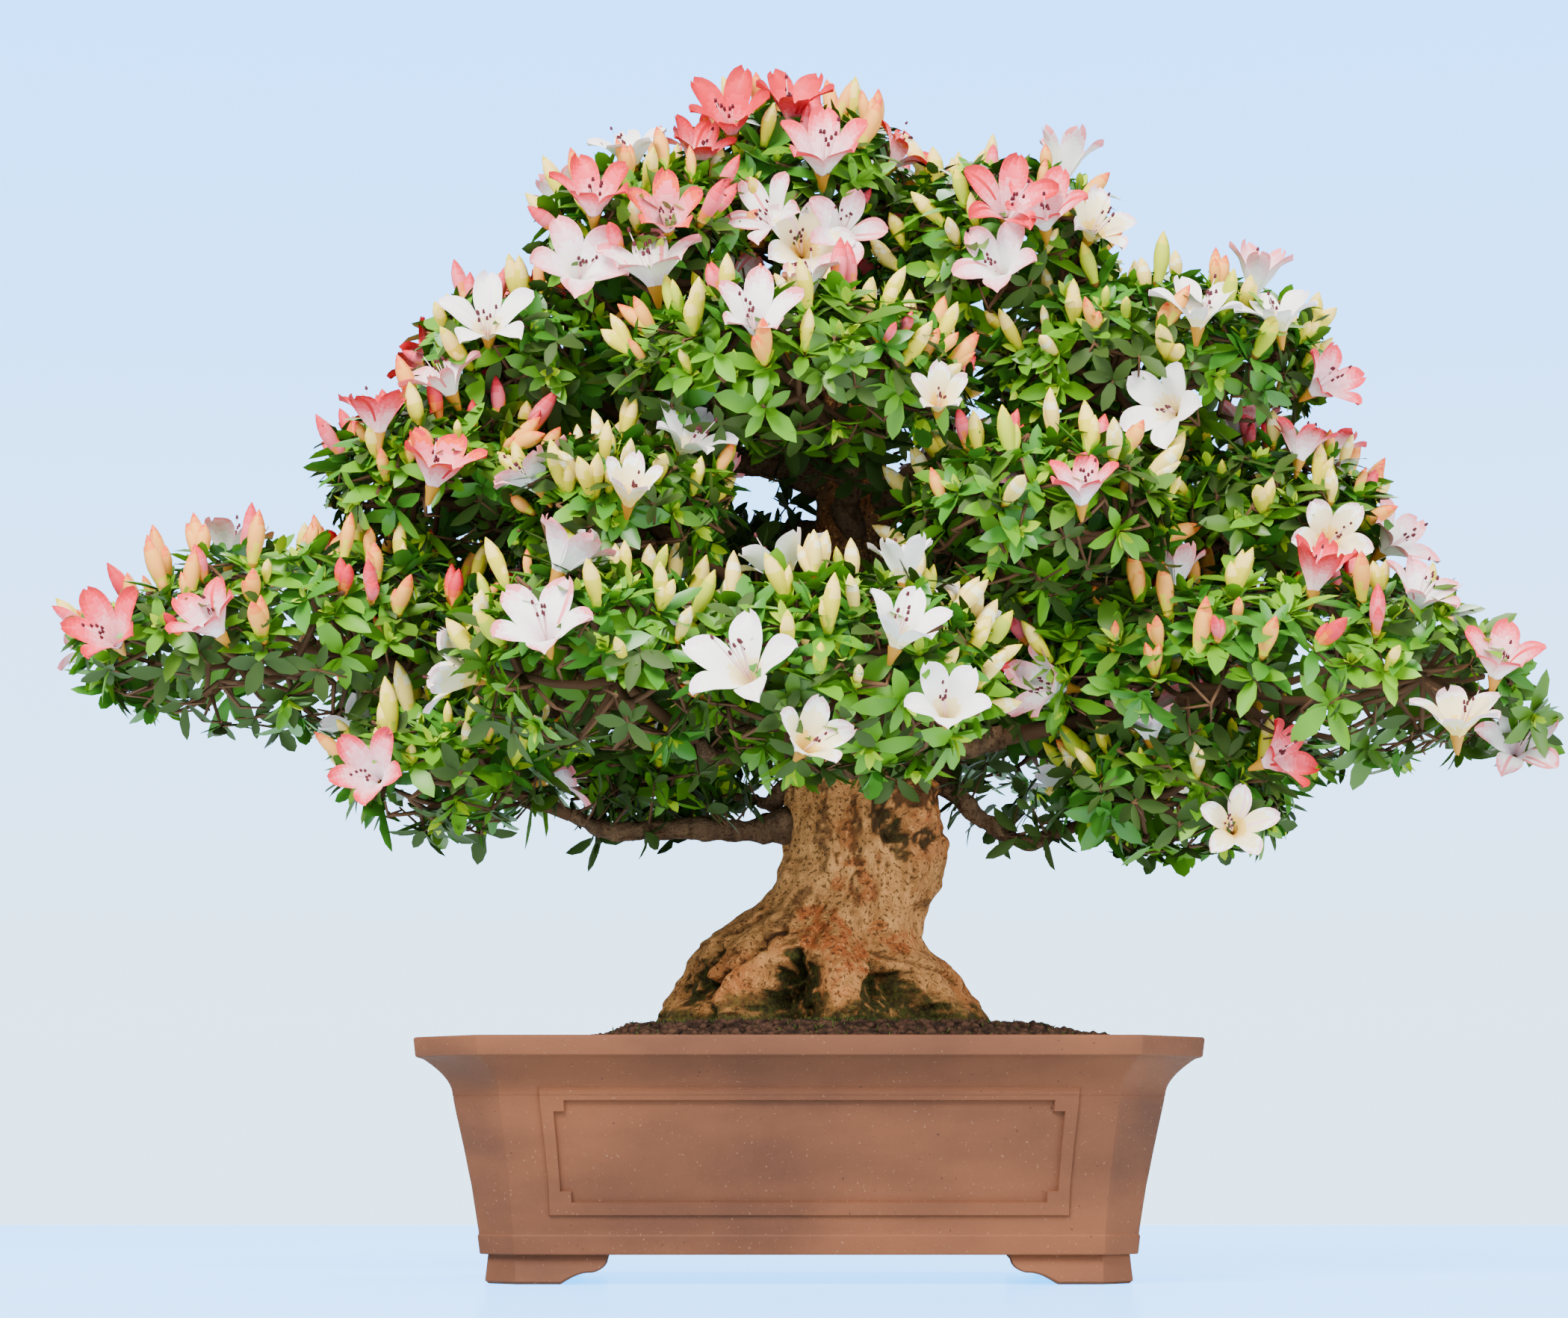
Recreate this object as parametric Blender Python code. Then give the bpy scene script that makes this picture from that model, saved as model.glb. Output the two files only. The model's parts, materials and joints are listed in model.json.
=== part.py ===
"""An azalea bonsai in its unglazed pot, at real size in metres, +Z up and its front towards -Y.

The pot stands on the ground plane with its middle over the origin. The trunk rises from a flat
cut on the root ball, one bough leaves it for each mass of foliage, and each mass grows by a
seeded rule inside a space of its own.
"""

import math
import random
from dataclasses import dataclass

import bmesh
import bpy
import numpy as np
from mathutils import Matrix, Vector
from mathutils.geometry import interpolate_bezier

SEED = 27
CLEARANCE = 0.0003  # between solids that touch each other on the real tree
LIMB_CLEARANCE = 0.0015  # from leaves and twigs to the limbs beside them

# Pot: a rectangle with cut corners, stepping in evenly all round below its rim.
RIM_HALF_LENGTH = 0.2530
RIM_HALF_DEPTH = 0.1825
RIM_CORNER_CUT = 0.0435
CUT_PER_INSET = 0.48  # how much a corner's cut shortens as the wall steps in
POT_HEIGHT = 0.156
RIM_BAND_HEIGHT = 0.0135
RIM_BAND_INSET = 0.0011
COVE_TOP_INSET = 0.0052
COVE_HEIGHT = 0.0235
COVE_POWER = 1.9
COVE_STEPS = 4
BODY_TOP_INSET = 0.0243
BODY_MIDDLE = (0.0365, 0.063)  # inset and height where the wall curves in to the plinth
BODY_FOOT = (0.0414, 0.032)
PLINTH_TOP_INSET = 0.0407
PLINTH_FOOT_INSET = 0.0429
PLINTH_TOP = 0.0308
RIM_WIDTH = 0.014
WALL_THICKNESS = 0.010
FLOOR_TOP = 0.034
FLOOR_INSET = 0.050
INNER_SHOULDER = (0.018, 0.150)  # inset and height below the rolled inner edge

# Raised panel on each side of the pot.
PANEL_FOOT = 0.0432
PANEL_TOP = 0.1220
PANEL_PROUD = 0.0015
PANEL_SUNK = 0.003
PANEL_MARGIN_TOP = 0.0580  # from the wall's end to the panel's
PANEL_MARGIN_FOOT = 0.0487

# Feet: corner brackets set back under the plinth, their arms rising in two scallops.
FOOT_HEIGHT = 0.019
FOOT_INSET = 0.0475
FOOT_FLARE = 0.002  # the foot spreads this much towards the table
FOOT_CORNER_CUT = 0.019
FOOT_ARM = 0.0775
FOOT_FLAT = 0.0476
BACK_ARM_SHARE = 0.845  # of a front foot's arm along the pot, since no back foot shows past a front one
FOOT_THICKNESS = 0.024
FOOT_TIP_HEIGHT = 0.001
SCALLOPS = 2
SCALLOP_STEPS = 3

# Root ball: fills the pot and mounds up to a plateau under the trunk.
SOIL_EDGE = 0.148
SOIL_SHOULDER = (0.168, 0.130, 0.157, 0.030)  # half length, half depth, height, shift to the right
SOIL_PLATEAU = (0.133, 0.112, 0.166, 0.017)
SOIL_CORNER_CUT = 0.045

# Trunk: height, sideways centre and half width at each station, in metres.
TRUNK_STATIONS = (
    (0.1663, 0.0095, 0.120),
    (0.174, 0.0136, 0.1147),
    (0.190, 0.0067, 0.1005),
    (0.205, 0.009, 0.095),
    (0.220, 0.0008, 0.079),
    (0.236, 0.0095, 0.068),
    (0.254, 0.0272, 0.0568),
    (0.285, 0.0395, 0.0575),
    (0.327, 0.038, 0.054),
    (0.400, 0.034, 0.040),
    (0.470, 0.033, 0.030),
    (0.553, 0.032, 0.026),
    (0.610, 0.020, 0.020),
    (0.655, -0.005, 0.013),
)
TRUNK_DEPTH_RATIO = 0.88
TRUNK_RINGS = 22
TRUNK_SIDES = 22
RING_CROWDING = 1.4  # above 1, rings stand closer together near the ground
LIMB_SAMPLES = 60
TRUNK_TIP_Y = 0.005
ROOT_BEARINGS = (4, 50, 96, 140, 178, 207, 235, 279, 322)  # degrees round the trunk
ROOT_SPREAD = 17.0
GROOVE_AT_GROUND = 0.30
GROOVE_UP_THE_TRUNK = 0.06
GROOVE_FADE = 0.045
BURL_BEARING = 305.0
BURL_HEIGHT = 0.312
BURL_SIZE = (24.0, 0.022, 0.009)  # degrees round, metres up, metres proud

# Boughs: each one leaves the trunk's middle and ends where it enters its mass.
BOUGH_POINTS = 7
BOUGH_TIP_SHARE = 0.5
BOUGH_WANDER = 0.005
BOUGH_START_SHARE = 0.4  # how far out the limb keeps the direction in which it left
BOUGH_END_SHARE = 0.24  # how far before its end it turns into its mass
ENTRY_ANGLE = 32.0  # how far below a mass's middle its bough comes in, in degrees
HEART_PULL = 0.22

# Foliage: leaves are fewer than the living plant's and larger, one for each whorl's side.
SPACE_POWER = 2.5  # a mass's space is a little fuller than an ellipsoid, whose power is 2
AREA_POWER = 1.6  # of the usual approximation to an ellipsoid's area
TIP_SPACING = 0.125
CORE_REACH = 0.78
SHOOT_REACH = 0.50
TIP_REACH = 0.85
SHELL_JITTER = 0.10
CELL_MARGIN = 0.03
CORE_CLEARANCE = 0.04  # share of the reach kept between a core and its space's edge
CORE_STEP = 0.02
SHOOT_RADIUS = 0.0026
TIP_RADIUS = 0.0018
TIPS_PER_SHOOT = 4
FEWEST_SHOOTS = 4
STEM_TAPER = 0.8
WHORL_LEAVES = 3
LEAF_LENGTH = 0.074
LEAF_WIDTH_SHARE = 0.44
LEAF_THICKNESS_SHARE = 0.05
LEAF_END_REACH = 0.97  # leaves lie along the mass's surface, their ends at this share of its space
LEAF_LENGTH_CHANGE = 0.12
LEAF_SUNK = 0.007
BUD_LENGTH = 0.040
BUD_WIDTH_SHARE = 0.36
BLOOM_RADIUS = 0.029
BLOOM_DEPTH = 0.030
BLOOM_THROAT = 0.55
BLOOM_NOTCH = 0.66
BLOOM_RISE = 0.009  # of its rim above the whorl
BLOOM_OVER_REACH = 1.08  # buds and open flowers stand a little proud of the leaves
WHORL_CENTRES = ("bloom", "bud", "bare")  # what stands in the middle of each whorl, in turn


@dataclass(frozen=True)
class Mass:
    """One mass of foliage: its space is a rounded cell, less what lies nearer another mass."""

    name: str
    centre: tuple
    reach: tuple
    fork: float  # height at which its bough leaves the trunk
    girth: float  # the bough's radius there


MASSES = (
    Mass("crown_top", (-0.008, 0.005, 0.733), (0.098, 0.118, 0.084), 0.655, 0.013),
    Mass("crown_left", (-0.108, -0.050, 0.687), (0.084, 0.106, 0.079), 0.590, 0.008),
    Mass("crown_right", (0.130, -0.030, 0.693), (0.093, 0.108, 0.075), 0.600, 0.008),
    Mass("crown_back", (0.006, 0.131, 0.650), (0.125, 0.107, 0.082), 0.575, 0.008),
    Mass("left_upper", (-0.190, -0.020, 0.617), (0.088, 0.110, 0.064), 0.548, 0.009),
    Mass("right_upper", (0.234, -0.040, 0.616), (0.134, 0.108, 0.067), 0.524, 0.010),
    Mass("front_upper", (-0.011, -0.140, 0.590), (0.134, 0.088, 0.060), 0.505, 0.008),
    Mass("back_left_upper", (-0.156, 0.126, 0.560), (0.112, 0.112, 0.072), 0.508, 0.009),
    Mass("back_right_upper", (0.182, 0.131, 0.548), (0.112, 0.114, 0.070), 0.480, 0.009),
    Mass("left_middle", (-0.242, -0.030, 0.534), (0.101, 0.120, 0.064), 0.470, 0.011),
    Mass("right_middle", (0.309, 0.000, 0.511), (0.101, 0.120, 0.065), 0.448, 0.011),
    Mass("front_left_middle", (-0.121, -0.130, 0.500), (0.088, 0.094, 0.054), 0.440, 0.008),
    Mass("front_right_middle", (0.152, -0.120, 0.495), (0.106, 0.098, 0.064), 0.418, 0.009),
    Mass("left_lower", (-0.344, -0.035, 0.426), (0.176, 0.120, 0.068), 0.396, 0.012),
    Mass("right_lower", (0.325, -0.060, 0.400), (0.216, 0.124, 0.068), 0.362, 0.012),
    Mass("front_left_lower", (-0.136, -0.186, 0.392), (0.096, 0.102, 0.072), 0.372, 0.009),
    Mass("front_lower", (0.020, -0.204, 0.380), (0.112, 0.093, 0.076), 0.362, 0.009),
    Mass("back_left_lower", (-0.205, 0.153, 0.426), (0.152, 0.138, 0.076), 0.388, 0.011),
    Mass("back_middle", (0.000, 0.200, 0.424), (0.112, 0.094, 0.072), 0.366, 0.009),
    Mass("back_right_lower", (0.205, 0.162, 0.408), (0.152, 0.130, 0.076), 0.350, 0.011),
    Mass("left_lowest", (-0.238, -0.060, 0.337), (0.088, 0.100, 0.051), 0.308, 0.009),
    Mass("left_inner", (-0.105, 0.010, 0.338), (0.079, 0.078, 0.028), 0.340, 0.006),
    Mass("right_lowest", (0.250, -0.030, 0.326), (0.094, 0.102, 0.052), 0.356, 0.008),
)


def clear_scene():
    """Remove everything that the file opened with."""
    for thing in list(bpy.data.objects):
        bpy.data.objects.remove(thing, do_unlink=True)


def make_collection(name, parent):
    """Add a named collection under another one."""
    collection = bpy.data.collections.new(name)
    parent.children.link(collection)
    return collection


def make_material(name, colour, roughness):
    """A plain Principled material in the part's own colour."""
    material = bpy.data.materials.new(name)
    material.use_nodes = True
    shader = material.node_tree.nodes["Principled BSDF"]
    shader.inputs["Base Color"].default_value = (*colour, 1.0)
    shader.inputs["Roughness"].default_value = roughness
    shader.inputs["Metallic"].default_value = 0.0
    return material


def make_object(name, shape, collection, material=None, matrix=None):
    """Turn a bmesh into a named object, with its normals facing out."""
    if matrix is not None:
        shape.transform(matrix)
    bmesh.ops.recalc_face_normals(shape, faces=shape.faces)
    mesh = bpy.data.meshes.new(name)
    shape.to_mesh(mesh)
    shape.free()
    if material is not None:
        mesh.materials.append(material)
    thing = bpy.data.objects.new(name, mesh)
    collection.objects.link(thing)
    return thing


def hide_cutter(thing):
    """Keep a helper out of renders and show it as wire."""
    thing.hide_render = True
    thing.display_type = "WIRE"


def loft(rings):
    """A closed solid whose sides join rings of equal length, with a cap on the first and last."""
    shape = bmesh.new()
    loops = [[shape.verts.new(point) for point in ring] for ring in rings]
    for lower, upper in zip(loops, loops[1:]):
        for i, corner in enumerate(lower):
            j = (i + 1) % len(lower)
            shape.faces.new((corner, lower[j], upper[j], upper[i]))
    shape.faces.new(loops[0][::-1])
    shape.faces.new(loops[-1])
    return shape


def applied(thing):
    """Replace an object's mesh with its evaluated one and drop its modifiers."""
    graph = bpy.context.evaluated_depsgraph_get()
    mesh = bpy.data.meshes.new_from_object(thing.evaluated_get(graph))
    thing.modifiers.clear()
    thing.data = mesh
    return thing


def combine(thing, others, operation, solver="EXACT"):
    """Apply one Boolean of all the other objects to an object, then remove those others."""
    group = bpy.data.collections.new("operands")
    bpy.context.scene.collection.children.link(group)
    for other in others:
        group.objects.link(other)
    boolean = thing.modifiers.new("combine", "BOOLEAN")
    boolean.operation = operation
    boolean.operand_type = "COLLECTION"
    boolean.collection = group
    boolean.solver = solver
    applied(thing)
    for other in others:
        bpy.data.objects.remove(other, do_unlink=True)
    bpy.data.collections.remove(group)
    return thing


def cut_corner_ring(half_length, half_depth, cut, height):
    """The eight corners of a rectangle with cut corners, anticlockwise from above."""
    quarter = ((half_length - cut, half_depth), (half_length, half_depth - cut))
    ring = []
    for sign_x, sign_y in ((1, -1), (1, 1), (-1, 1), (-1, -1)):
        pair = quarter if sign_x * sign_y < 0 else quarter[::-1]
        ring += [Vector((sign_x * x, sign_y * y, height)) for x, y in pair]
    return ring


def pot_ring(inset, height):
    """The pot's outline, stepped in from its rim by an inset all round."""
    cut = RIM_CORNER_CUT - CUT_PER_INSET * inset
    return cut_corner_ring(RIM_HALF_LENGTH - inset, RIM_HALF_DEPTH - inset, cut, height)


def outer_profile():
    """Inset and height up the outside of the pot, from the plinth's foot to the rim's edge."""
    band_foot = POT_HEIGHT - RIM_BAND_HEIGHT
    cove_foot = band_foot - COVE_HEIGHT
    cove_drop = BODY_TOP_INSET - COVE_TOP_INSET
    profile = [(PLINTH_FOOT_INSET, FOOT_HEIGHT), (PLINTH_TOP_INSET, PLINTH_TOP), BODY_FOOT, BODY_MIDDLE]
    for step in range(COVE_STEPS + 1):
        share = step / COVE_STEPS
        inset = BODY_TOP_INSET - cove_drop * share**COVE_POWER
        profile.append((inset, cove_foot + COVE_HEIGHT * share))
    profile += [(RIM_BAND_INSET, band_foot + 0.001), (0.0, POT_HEIGHT - 0.002), (0.0015, POT_HEIGHT)]
    return profile


def inner_profile():
    """Inset and height down the inside of the pot, from the rim's inner edge to the floor."""
    cove_foot = POT_HEIGHT - RIM_BAND_HEIGHT - COVE_HEIGHT
    return [
        (RIM_WIDTH, POT_HEIGHT),
        INNER_SHOULDER,
        (BODY_TOP_INSET + WALL_THICKNESS, cove_foot),
        (FLOOR_INSET, FLOOR_TOP),
    ]


def wall_inset(height):
    """How far the pot's outer wall is stepped in at a height."""
    insets, heights = zip(*outer_profile())
    return float(np.interp(height, heights, insets))


def make_panel(side, collection):
    """The raised panel of one side: a slab laid on the sloping wall and sunk a little into it."""
    along_length = side in ("front", "back")
    half_wall, half_gap = RIM_HALF_LENGTH, RIM_HALF_DEPTH
    if not along_length:
        half_wall, half_gap = half_gap, half_wall
    shape = bmesh.new()
    bmesh.ops.create_cube(shape, size=2.0)
    for corner in shape.verts:
        across, out, up = corner.co
        height = PANEL_TOP if up > 0 else PANEL_FOOT
        margin = PANEL_MARGIN_TOP if up > 0 else PANEL_MARGIN_FOOT
        inset = wall_inset(height)
        distance = half_gap - inset + (PANEL_PROUD if out > 0 else -PANEL_SUNK)
        corner.co = ((half_wall - inset - margin) * across, distance, height)
    turn = {"front": 180, "back": 0, "left": 90, "right": -90}[side]
    return make_object(f"panel_{side}", shape, collection, matrix=Matrix.Rotation(math.radians(turn), 4, "Z"))


def make_pot(collection, cutters, material):
    """The pot: one open clay shell with a panel on each side."""
    rings = [pot_ring(*station) for station in outer_profile() + inner_profile()]
    pot = make_object("pot", loft(rings), collection, material)
    panels = [make_panel(side, cutters) for side in ("front", "back", "left", "right")]
    return combine(pot, panels, "UNION")


def scallop_height(along):
    """How high a foot's underside is, at a distance from the foot's outer corner."""
    share = (along - FOOT_FLAT) / (FOOT_ARM - FOOT_FLAT) * SCALLOPS
    if share <= 0:
        return 0.0
    step = min(int(share), SCALLOPS - 1)
    rise = step + math.sin(math.pi / 2 * (share - step))
    return (FOOT_HEIGHT - FOOT_TIP_HEIGHT) * rise / SCALLOPS


def foot_stations():
    """Distances along an arm from the foot's outer corner, from the arm's tip to its flat sole."""
    steps = SCALLOPS * SCALLOP_STEPS
    return [FOOT_ARM - (FOOT_ARM - FOOT_FLAT) * step / steps for step in range(steps + 1)]


def make_foot(name, sign_x, sign_y, collection, material):
    """One corner bracket: a four-sided section carried along both arms and the cut corner."""
    half_length = RIM_HALF_LENGTH - FOOT_INSET
    half_depth = RIM_HALF_DEPTH - FOOT_INSET
    inner_cut = FOOT_CORNER_CUT - FOOT_THICKNESS * (2 - math.sqrt(2))
    path = [(along, "length") for along in foot_stations()]
    path += [(None, "length"), (None, "depth")]
    path += [(along, "depth") for along in foot_stations()[::-1]]
    rings = []
    for along, arm in path:
        shorter = BACK_ARM_SHARE if sign_y > 0 and arm == "length" else 1.0
        ring = []
        for side, height in (("outer", 1), ("outer", 0), ("inner", 0), ("inner", 1)):
            back = 0.0 if side == "outer" else FOOT_THICKNESS
            cut = FOOT_CORNER_CUT if side == "outer" else inner_cut
            flare = FOOT_FLARE if side == "outer" and not height else 0.0
            reach = back + cut if along is None else along * shorter
            x, y = (reach, back - flare) if arm == "length" else (back - flare, reach)
            sole = 0.0 if along is None else scallop_height(along)
            z = FOOT_HEIGHT - CLEARANCE if height else sole
            ring.append(Vector((sign_x * (half_length - x), sign_y * (half_depth - y), z)))
        rings.append(ring)
    return make_object(name, loft(rings), collection, material)


def make_soil(collection, material):
    """The root ball: it fills the pot inside its walls and mounds up to a flat plateau."""
    insets, heights = zip(*inner_profile()[::-1])
    edge_inset = float(np.interp(SOIL_EDGE, heights, insets)) + 2 * CLEARANCE
    rings = [pot_ring(FLOOR_INSET + CLEARANCE, FLOOR_TOP + CLEARANCE)]
    rings.append(pot_ring(insets[1] + 2 * CLEARANCE, heights[1]))
    rings.append(pot_ring(edge_inset, SOIL_EDGE))
    for half_length, half_depth, height, shift in (SOIL_SHOULDER, SOIL_PLATEAU):
        ring = cut_corner_ring(half_length, half_depth, SOIL_CORNER_CUT, height)
        rings.append([corner + Vector((shift, 0, 0)) for corner in ring])
    return make_object("soil", loft(rings), collection, material)


def trunk_centre(height):
    """The middle of the trunk at a height."""
    heights, centres, _ = zip(*TRUNK_STATIONS)
    lean = (height - heights[0]) / (heights[-1] - heights[0])
    return Vector((float(np.interp(height, heights, centres)), TRUNK_TIP_Y * lean, height))


def trunk_radius(bearing, height):
    """The trunk's radius: the measured half width, less the grooves between the roots."""
    heights, _, widths = zip(*TRUNK_STATIONS)
    half_width = float(np.interp(height, heights, widths))
    turns = [(bearing - root + 180) % 360 - 180 for root in ROOT_BEARINGS]
    ridge = max(math.exp(-((turn / ROOT_SPREAD) ** 2)) for turn in turns)
    fade = math.exp(-(height - heights[0]) / GROOVE_FADE)
    groove = GROOVE_UP_THE_TRUNK + (GROOVE_AT_GROUND - GROOVE_UP_THE_TRUNK) * fade
    burl_turn = (bearing - BURL_BEARING + 180) % 360 - 180
    wide, tall, proud = BURL_SIZE
    burl = proud * math.exp(-((burl_turn / wide) ** 2) - ((height - BURL_HEIGHT) / tall) ** 2)
    return half_width * (1 - groove * (1 - ridge)) + burl


def trunk_rings(clearance):
    """Rings up the trunk, close together where the roots flare, grown outwards by a clearance."""
    foot, tip = TRUNK_STATIONS[0][0], TRUNK_STATIONS[-1][0]
    rings = []
    for level in range(TRUNK_RINGS):
        height = foot + (tip - foot) * (level / (TRUNK_RINGS - 1)) ** RING_CROWDING
        middle = trunk_centre(height)
        ring = []
        for side in range(TRUNK_SIDES):
            bearing = 360 * side / TRUNK_SIDES
            radius = trunk_radius(bearing, height) + clearance
            across, back = math.cos(math.radians(bearing)), math.sin(math.radians(bearing))
            ring.append(middle + Vector((radius * across, TRUNK_DEPTH_RATIO * radius * back, 0)))
        rings.append(ring)
    return rings


def make_trunk(collection, material):
    """The trunk, from its flat cut on the soil to the tip that enters the crown."""
    return make_object("trunk", loft(trunk_rings(0.0)), collection, material)


def on_surface(mass, direction, reach=1.0):
    """The point in a direction from a mass's middle, at a share of its space's reach."""
    length = float(np.linalg.norm(direction, SPACE_POWER))
    return Vector(mass.centre) + direction * Vector(mass.reach) * (reach / length)


def entry_point(mass):
    """Where the bough enters its mass: on the space's edge, inwards and below the middle."""
    if mass.fork >= TRUNK_STATIONS[-1][0]:
        return trunk_centre(mass.fork)
    inwards = trunk_centre(mass.fork) - Vector(mass.centre)
    inwards.z = 0.0
    inwards.normalize()
    drop = math.radians(ENTRY_ANGLE)
    return on_surface(mass, inwards * math.cos(drop) - Vector((0, 0, math.sin(drop))))


def heart_point(mass):
    """The point near a mass's middle from which its shoots spread."""
    return Vector(mass.centre).lerp(entry_point(mass), HEART_PULL)


def bough_route(mass):
    """Centre points and radii of a bough, from inside the trunk to its mass's edge."""
    chance = random.Random(f"{SEED} bough {mass.name}")
    start, end = trunk_centre(mass.fork), entry_point(mass)
    span = (end - start).length
    outwards = (end - start) * Vector((1, 1, 0))
    into_mass = (heart_point(mass) - end).normalized()
    first = start + outwards.normalized() * span * BOUGH_START_SHARE
    last = end - into_mass * span * BOUGH_END_SHARE
    points = interpolate_bezier(start, first, last, end, BOUGH_POINTS)
    for index in range(2, BOUGH_POINTS - 2):
        points[index] += Vector([chance.uniform(-BOUGH_WANDER, BOUGH_WANDER) for _ in range(3)])
    points[-2] = end - into_mass * (end - points[-2]).length
    radii = [mass.girth * (1 - (1 - BOUGH_TIP_SHARE) * i / (BOUGH_POINTS - 1)) for i in range(BOUGH_POINTS)]
    return points, radii


def make_bough(mass, collection, cutters, material):
    """One tapering limb, cut to sit against the trunk."""
    points, radii = bough_route(mass)
    curve = bpy.data.curves.new(f"bough_{mass.name}_curve", "CURVE")
    curve.dimensions = "3D"
    curve.bevel_depth = 1.0
    curve.bevel_resolution = 1
    curve.use_fill_caps = True
    spline = curve.splines.new("POLY")
    spline.points.add(len(points) - 1)
    for slot, point, radius in zip(spline.points, points, radii):
        slot.co = (*point, 1.0)
        slot.radius = radius
    guide = bpy.data.objects.new(curve.name, curve)
    cutters.objects.link(guide)
    graph = bpy.context.evaluated_depsgraph_get()
    solid = bpy.data.meshes.new_from_object(guide.evaluated_get(graph))
    shape = bmesh.new()
    shape.from_mesh(solid)
    bmesh.ops.remove_doubles(shape, verts=shape.verts, dist=1e-5)
    bpy.data.objects.remove(guide, do_unlink=True)
    bough = make_object(f"bough_{mass.name}", shape, collection, material)
    trunk_cutter = make_object("trunk_cutter", loft(trunk_rings(CLEARANCE * 1.5)), cutters)
    return combine(bough, [trunk_cutter], "DIFFERENCE")


def limb_samples():
    """Points along the trunk and boughs, with the limb's radius at each."""
    samples = []
    heights = np.linspace(TRUNK_STATIONS[0][0], TRUNK_STATIONS[-1][0], LIMB_SAMPLES)
    for height in heights:
        widest = max(trunk_radius(bearing, height) for bearing in range(0, 360, 15))
        samples.append((trunk_centre(height), widest))
    for mass in MASSES:
        if mass.fork < TRUNK_STATIONS[-1][0]:
            points, radii = bough_route(mass)
            for i in range(len(points) - 1):
                for share in (0.0, 0.25, 0.5, 0.75, 1.0):
                    samples.append((points[i].lerp(points[i + 1], share), radii[i]))
    return np.array([(*point, radius) for point, radius in samples])


class Space:
    """The space of one mass, and the test that keeps its twigs and leaves inside it."""

    def __init__(self, mass, limbs):
        self.mass = mass
        self.index = MASSES.index(mass)
        self.centres = np.array([other.centre for other in MASSES])
        self.reaches = np.array([other.reach for other in MASSES])
        self.limbs = limbs

    def holds(self, point, radius=0.0, reach=1.0):
        """Whether a point lies in the space, nearer this mass than any other, clear of limbs."""
        nearness = np.linalg.norm((np.array(point) - self.centres) / self.reaches, SPACE_POWER, axis=1)
        own = nearness[self.index]
        nearest_other = np.delete(nearness, self.index).min()
        if own > reach or own + CELL_MARGIN > nearest_other:
            return False
        away = np.linalg.norm(self.limbs[:, :3] - np.array(point), axis=1)
        return bool((away > self.limbs[:, 3] + radius + LIMB_CLEARANCE).all())

    def outwards(self, point):
        """The direction square to the space's surface at a point."""
        offset = point - Vector(self.mass.centre)
        slopes = [
            math.copysign(abs(step / size) ** (SPACE_POWER - 1), step) / size
            for step, size in zip(offset, self.mass.reach)
        ]
        return Vector(slopes).normalized()

    def at(self, direction, reach):
        """The point in a direction from the middle, at a share of the space's reach."""
        return on_surface(self.mass, direction, reach)


def shell_directions(count, chance):
    """Directions spread evenly over a sphere by the golden angle, each nudged a little."""
    golden = math.pi * (3 - math.sqrt(5))
    first = chance.uniform(0, 2 * math.pi)
    found = []
    for index in range(count):
        up = 1 - (2 * index + 1) / count
        level = math.sqrt(1 - up * up)
        turn = first + golden * index
        nudge = Vector([chance.uniform(-SHELL_JITTER, SHELL_JITTER) for _ in range(3)])
        found.append((Vector((level * math.cos(turn), level * math.sin(turn), up)) + nudge).normalized())
    return found


def frame_along(start, end, side):
    """A matrix whose X runs half the way from start to end, centred between them, Z near side."""
    along = (end - start) / 2
    across = side.cross(along).normalized()
    upright = along.cross(across).normalized()
    matrix = Matrix((along, across, upright)).transposed().to_4x4()
    matrix.translation = (start + end) / 2
    return matrix


def add_spindle(start, end, side, width, thickness, collection):
    """A closed shape of eight faces, pointed at both ends: a leaf if thin, a bud if round."""
    shape = bmesh.new()
    bmesh.ops.create_uvsphere(shape, u_segments=4, v_segments=2, radius=1.0)
    size = Matrix.Diagonal((1.0, width / 2, thickness / 2, 1.0))
    return make_object("spindle", shape, collection, matrix=frame_along(start, end, side) @ size)


def add_twig(start, end, start_radius, end_radius, collection):
    """A three-sided tapering twig."""
    shape = bmesh.new()
    turn = (end - start).to_track_quat("Z", "Y").to_matrix().to_4x4()
    bmesh.ops.create_cone(
        shape, cap_ends=True, segments=3, radius1=start_radius, radius2=end_radius, depth=(end - start).length
    )
    return make_object("twig", shape, collection, matrix=Matrix.Translation((start + end) / 2) @ turn)


def add_bloom(base, outwards, collection):
    """An open flower: a cone with its rim notched into five lobes and its throat sunk in."""
    shape = bmesh.new()
    bmesh.ops.create_cone(
        shape, cap_ends=True, cap_tris=True, segments=10, radius1=0.0, radius2=BLOOM_RADIUS, depth=BLOOM_DEPTH
    )
    bmesh.ops.remove_doubles(shape, verts=shape.verts, dist=1e-6)
    for corner in shape.verts:
        if corner.co.z < 0:
            continue
        distance = corner.co.to_2d().length
        if distance < BLOOM_RADIUS / 2:
            corner.co.z -= BLOOM_DEPTH * BLOOM_THROAT
            continue
        turn = math.degrees(math.atan2(corner.co.y, corner.co.x))
        if round(turn / 36) % 2:
            corner.co.x *= BLOOM_NOTCH
            corner.co.y *= BLOOM_NOTCH
    turn = outwards.to_track_quat("Z", "Y").to_matrix().to_4x4()
    middle = base + outwards * BLOOM_DEPTH / 2
    return make_object("bloom", shape, collection, matrix=Matrix.Translation(middle) @ turn)


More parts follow.
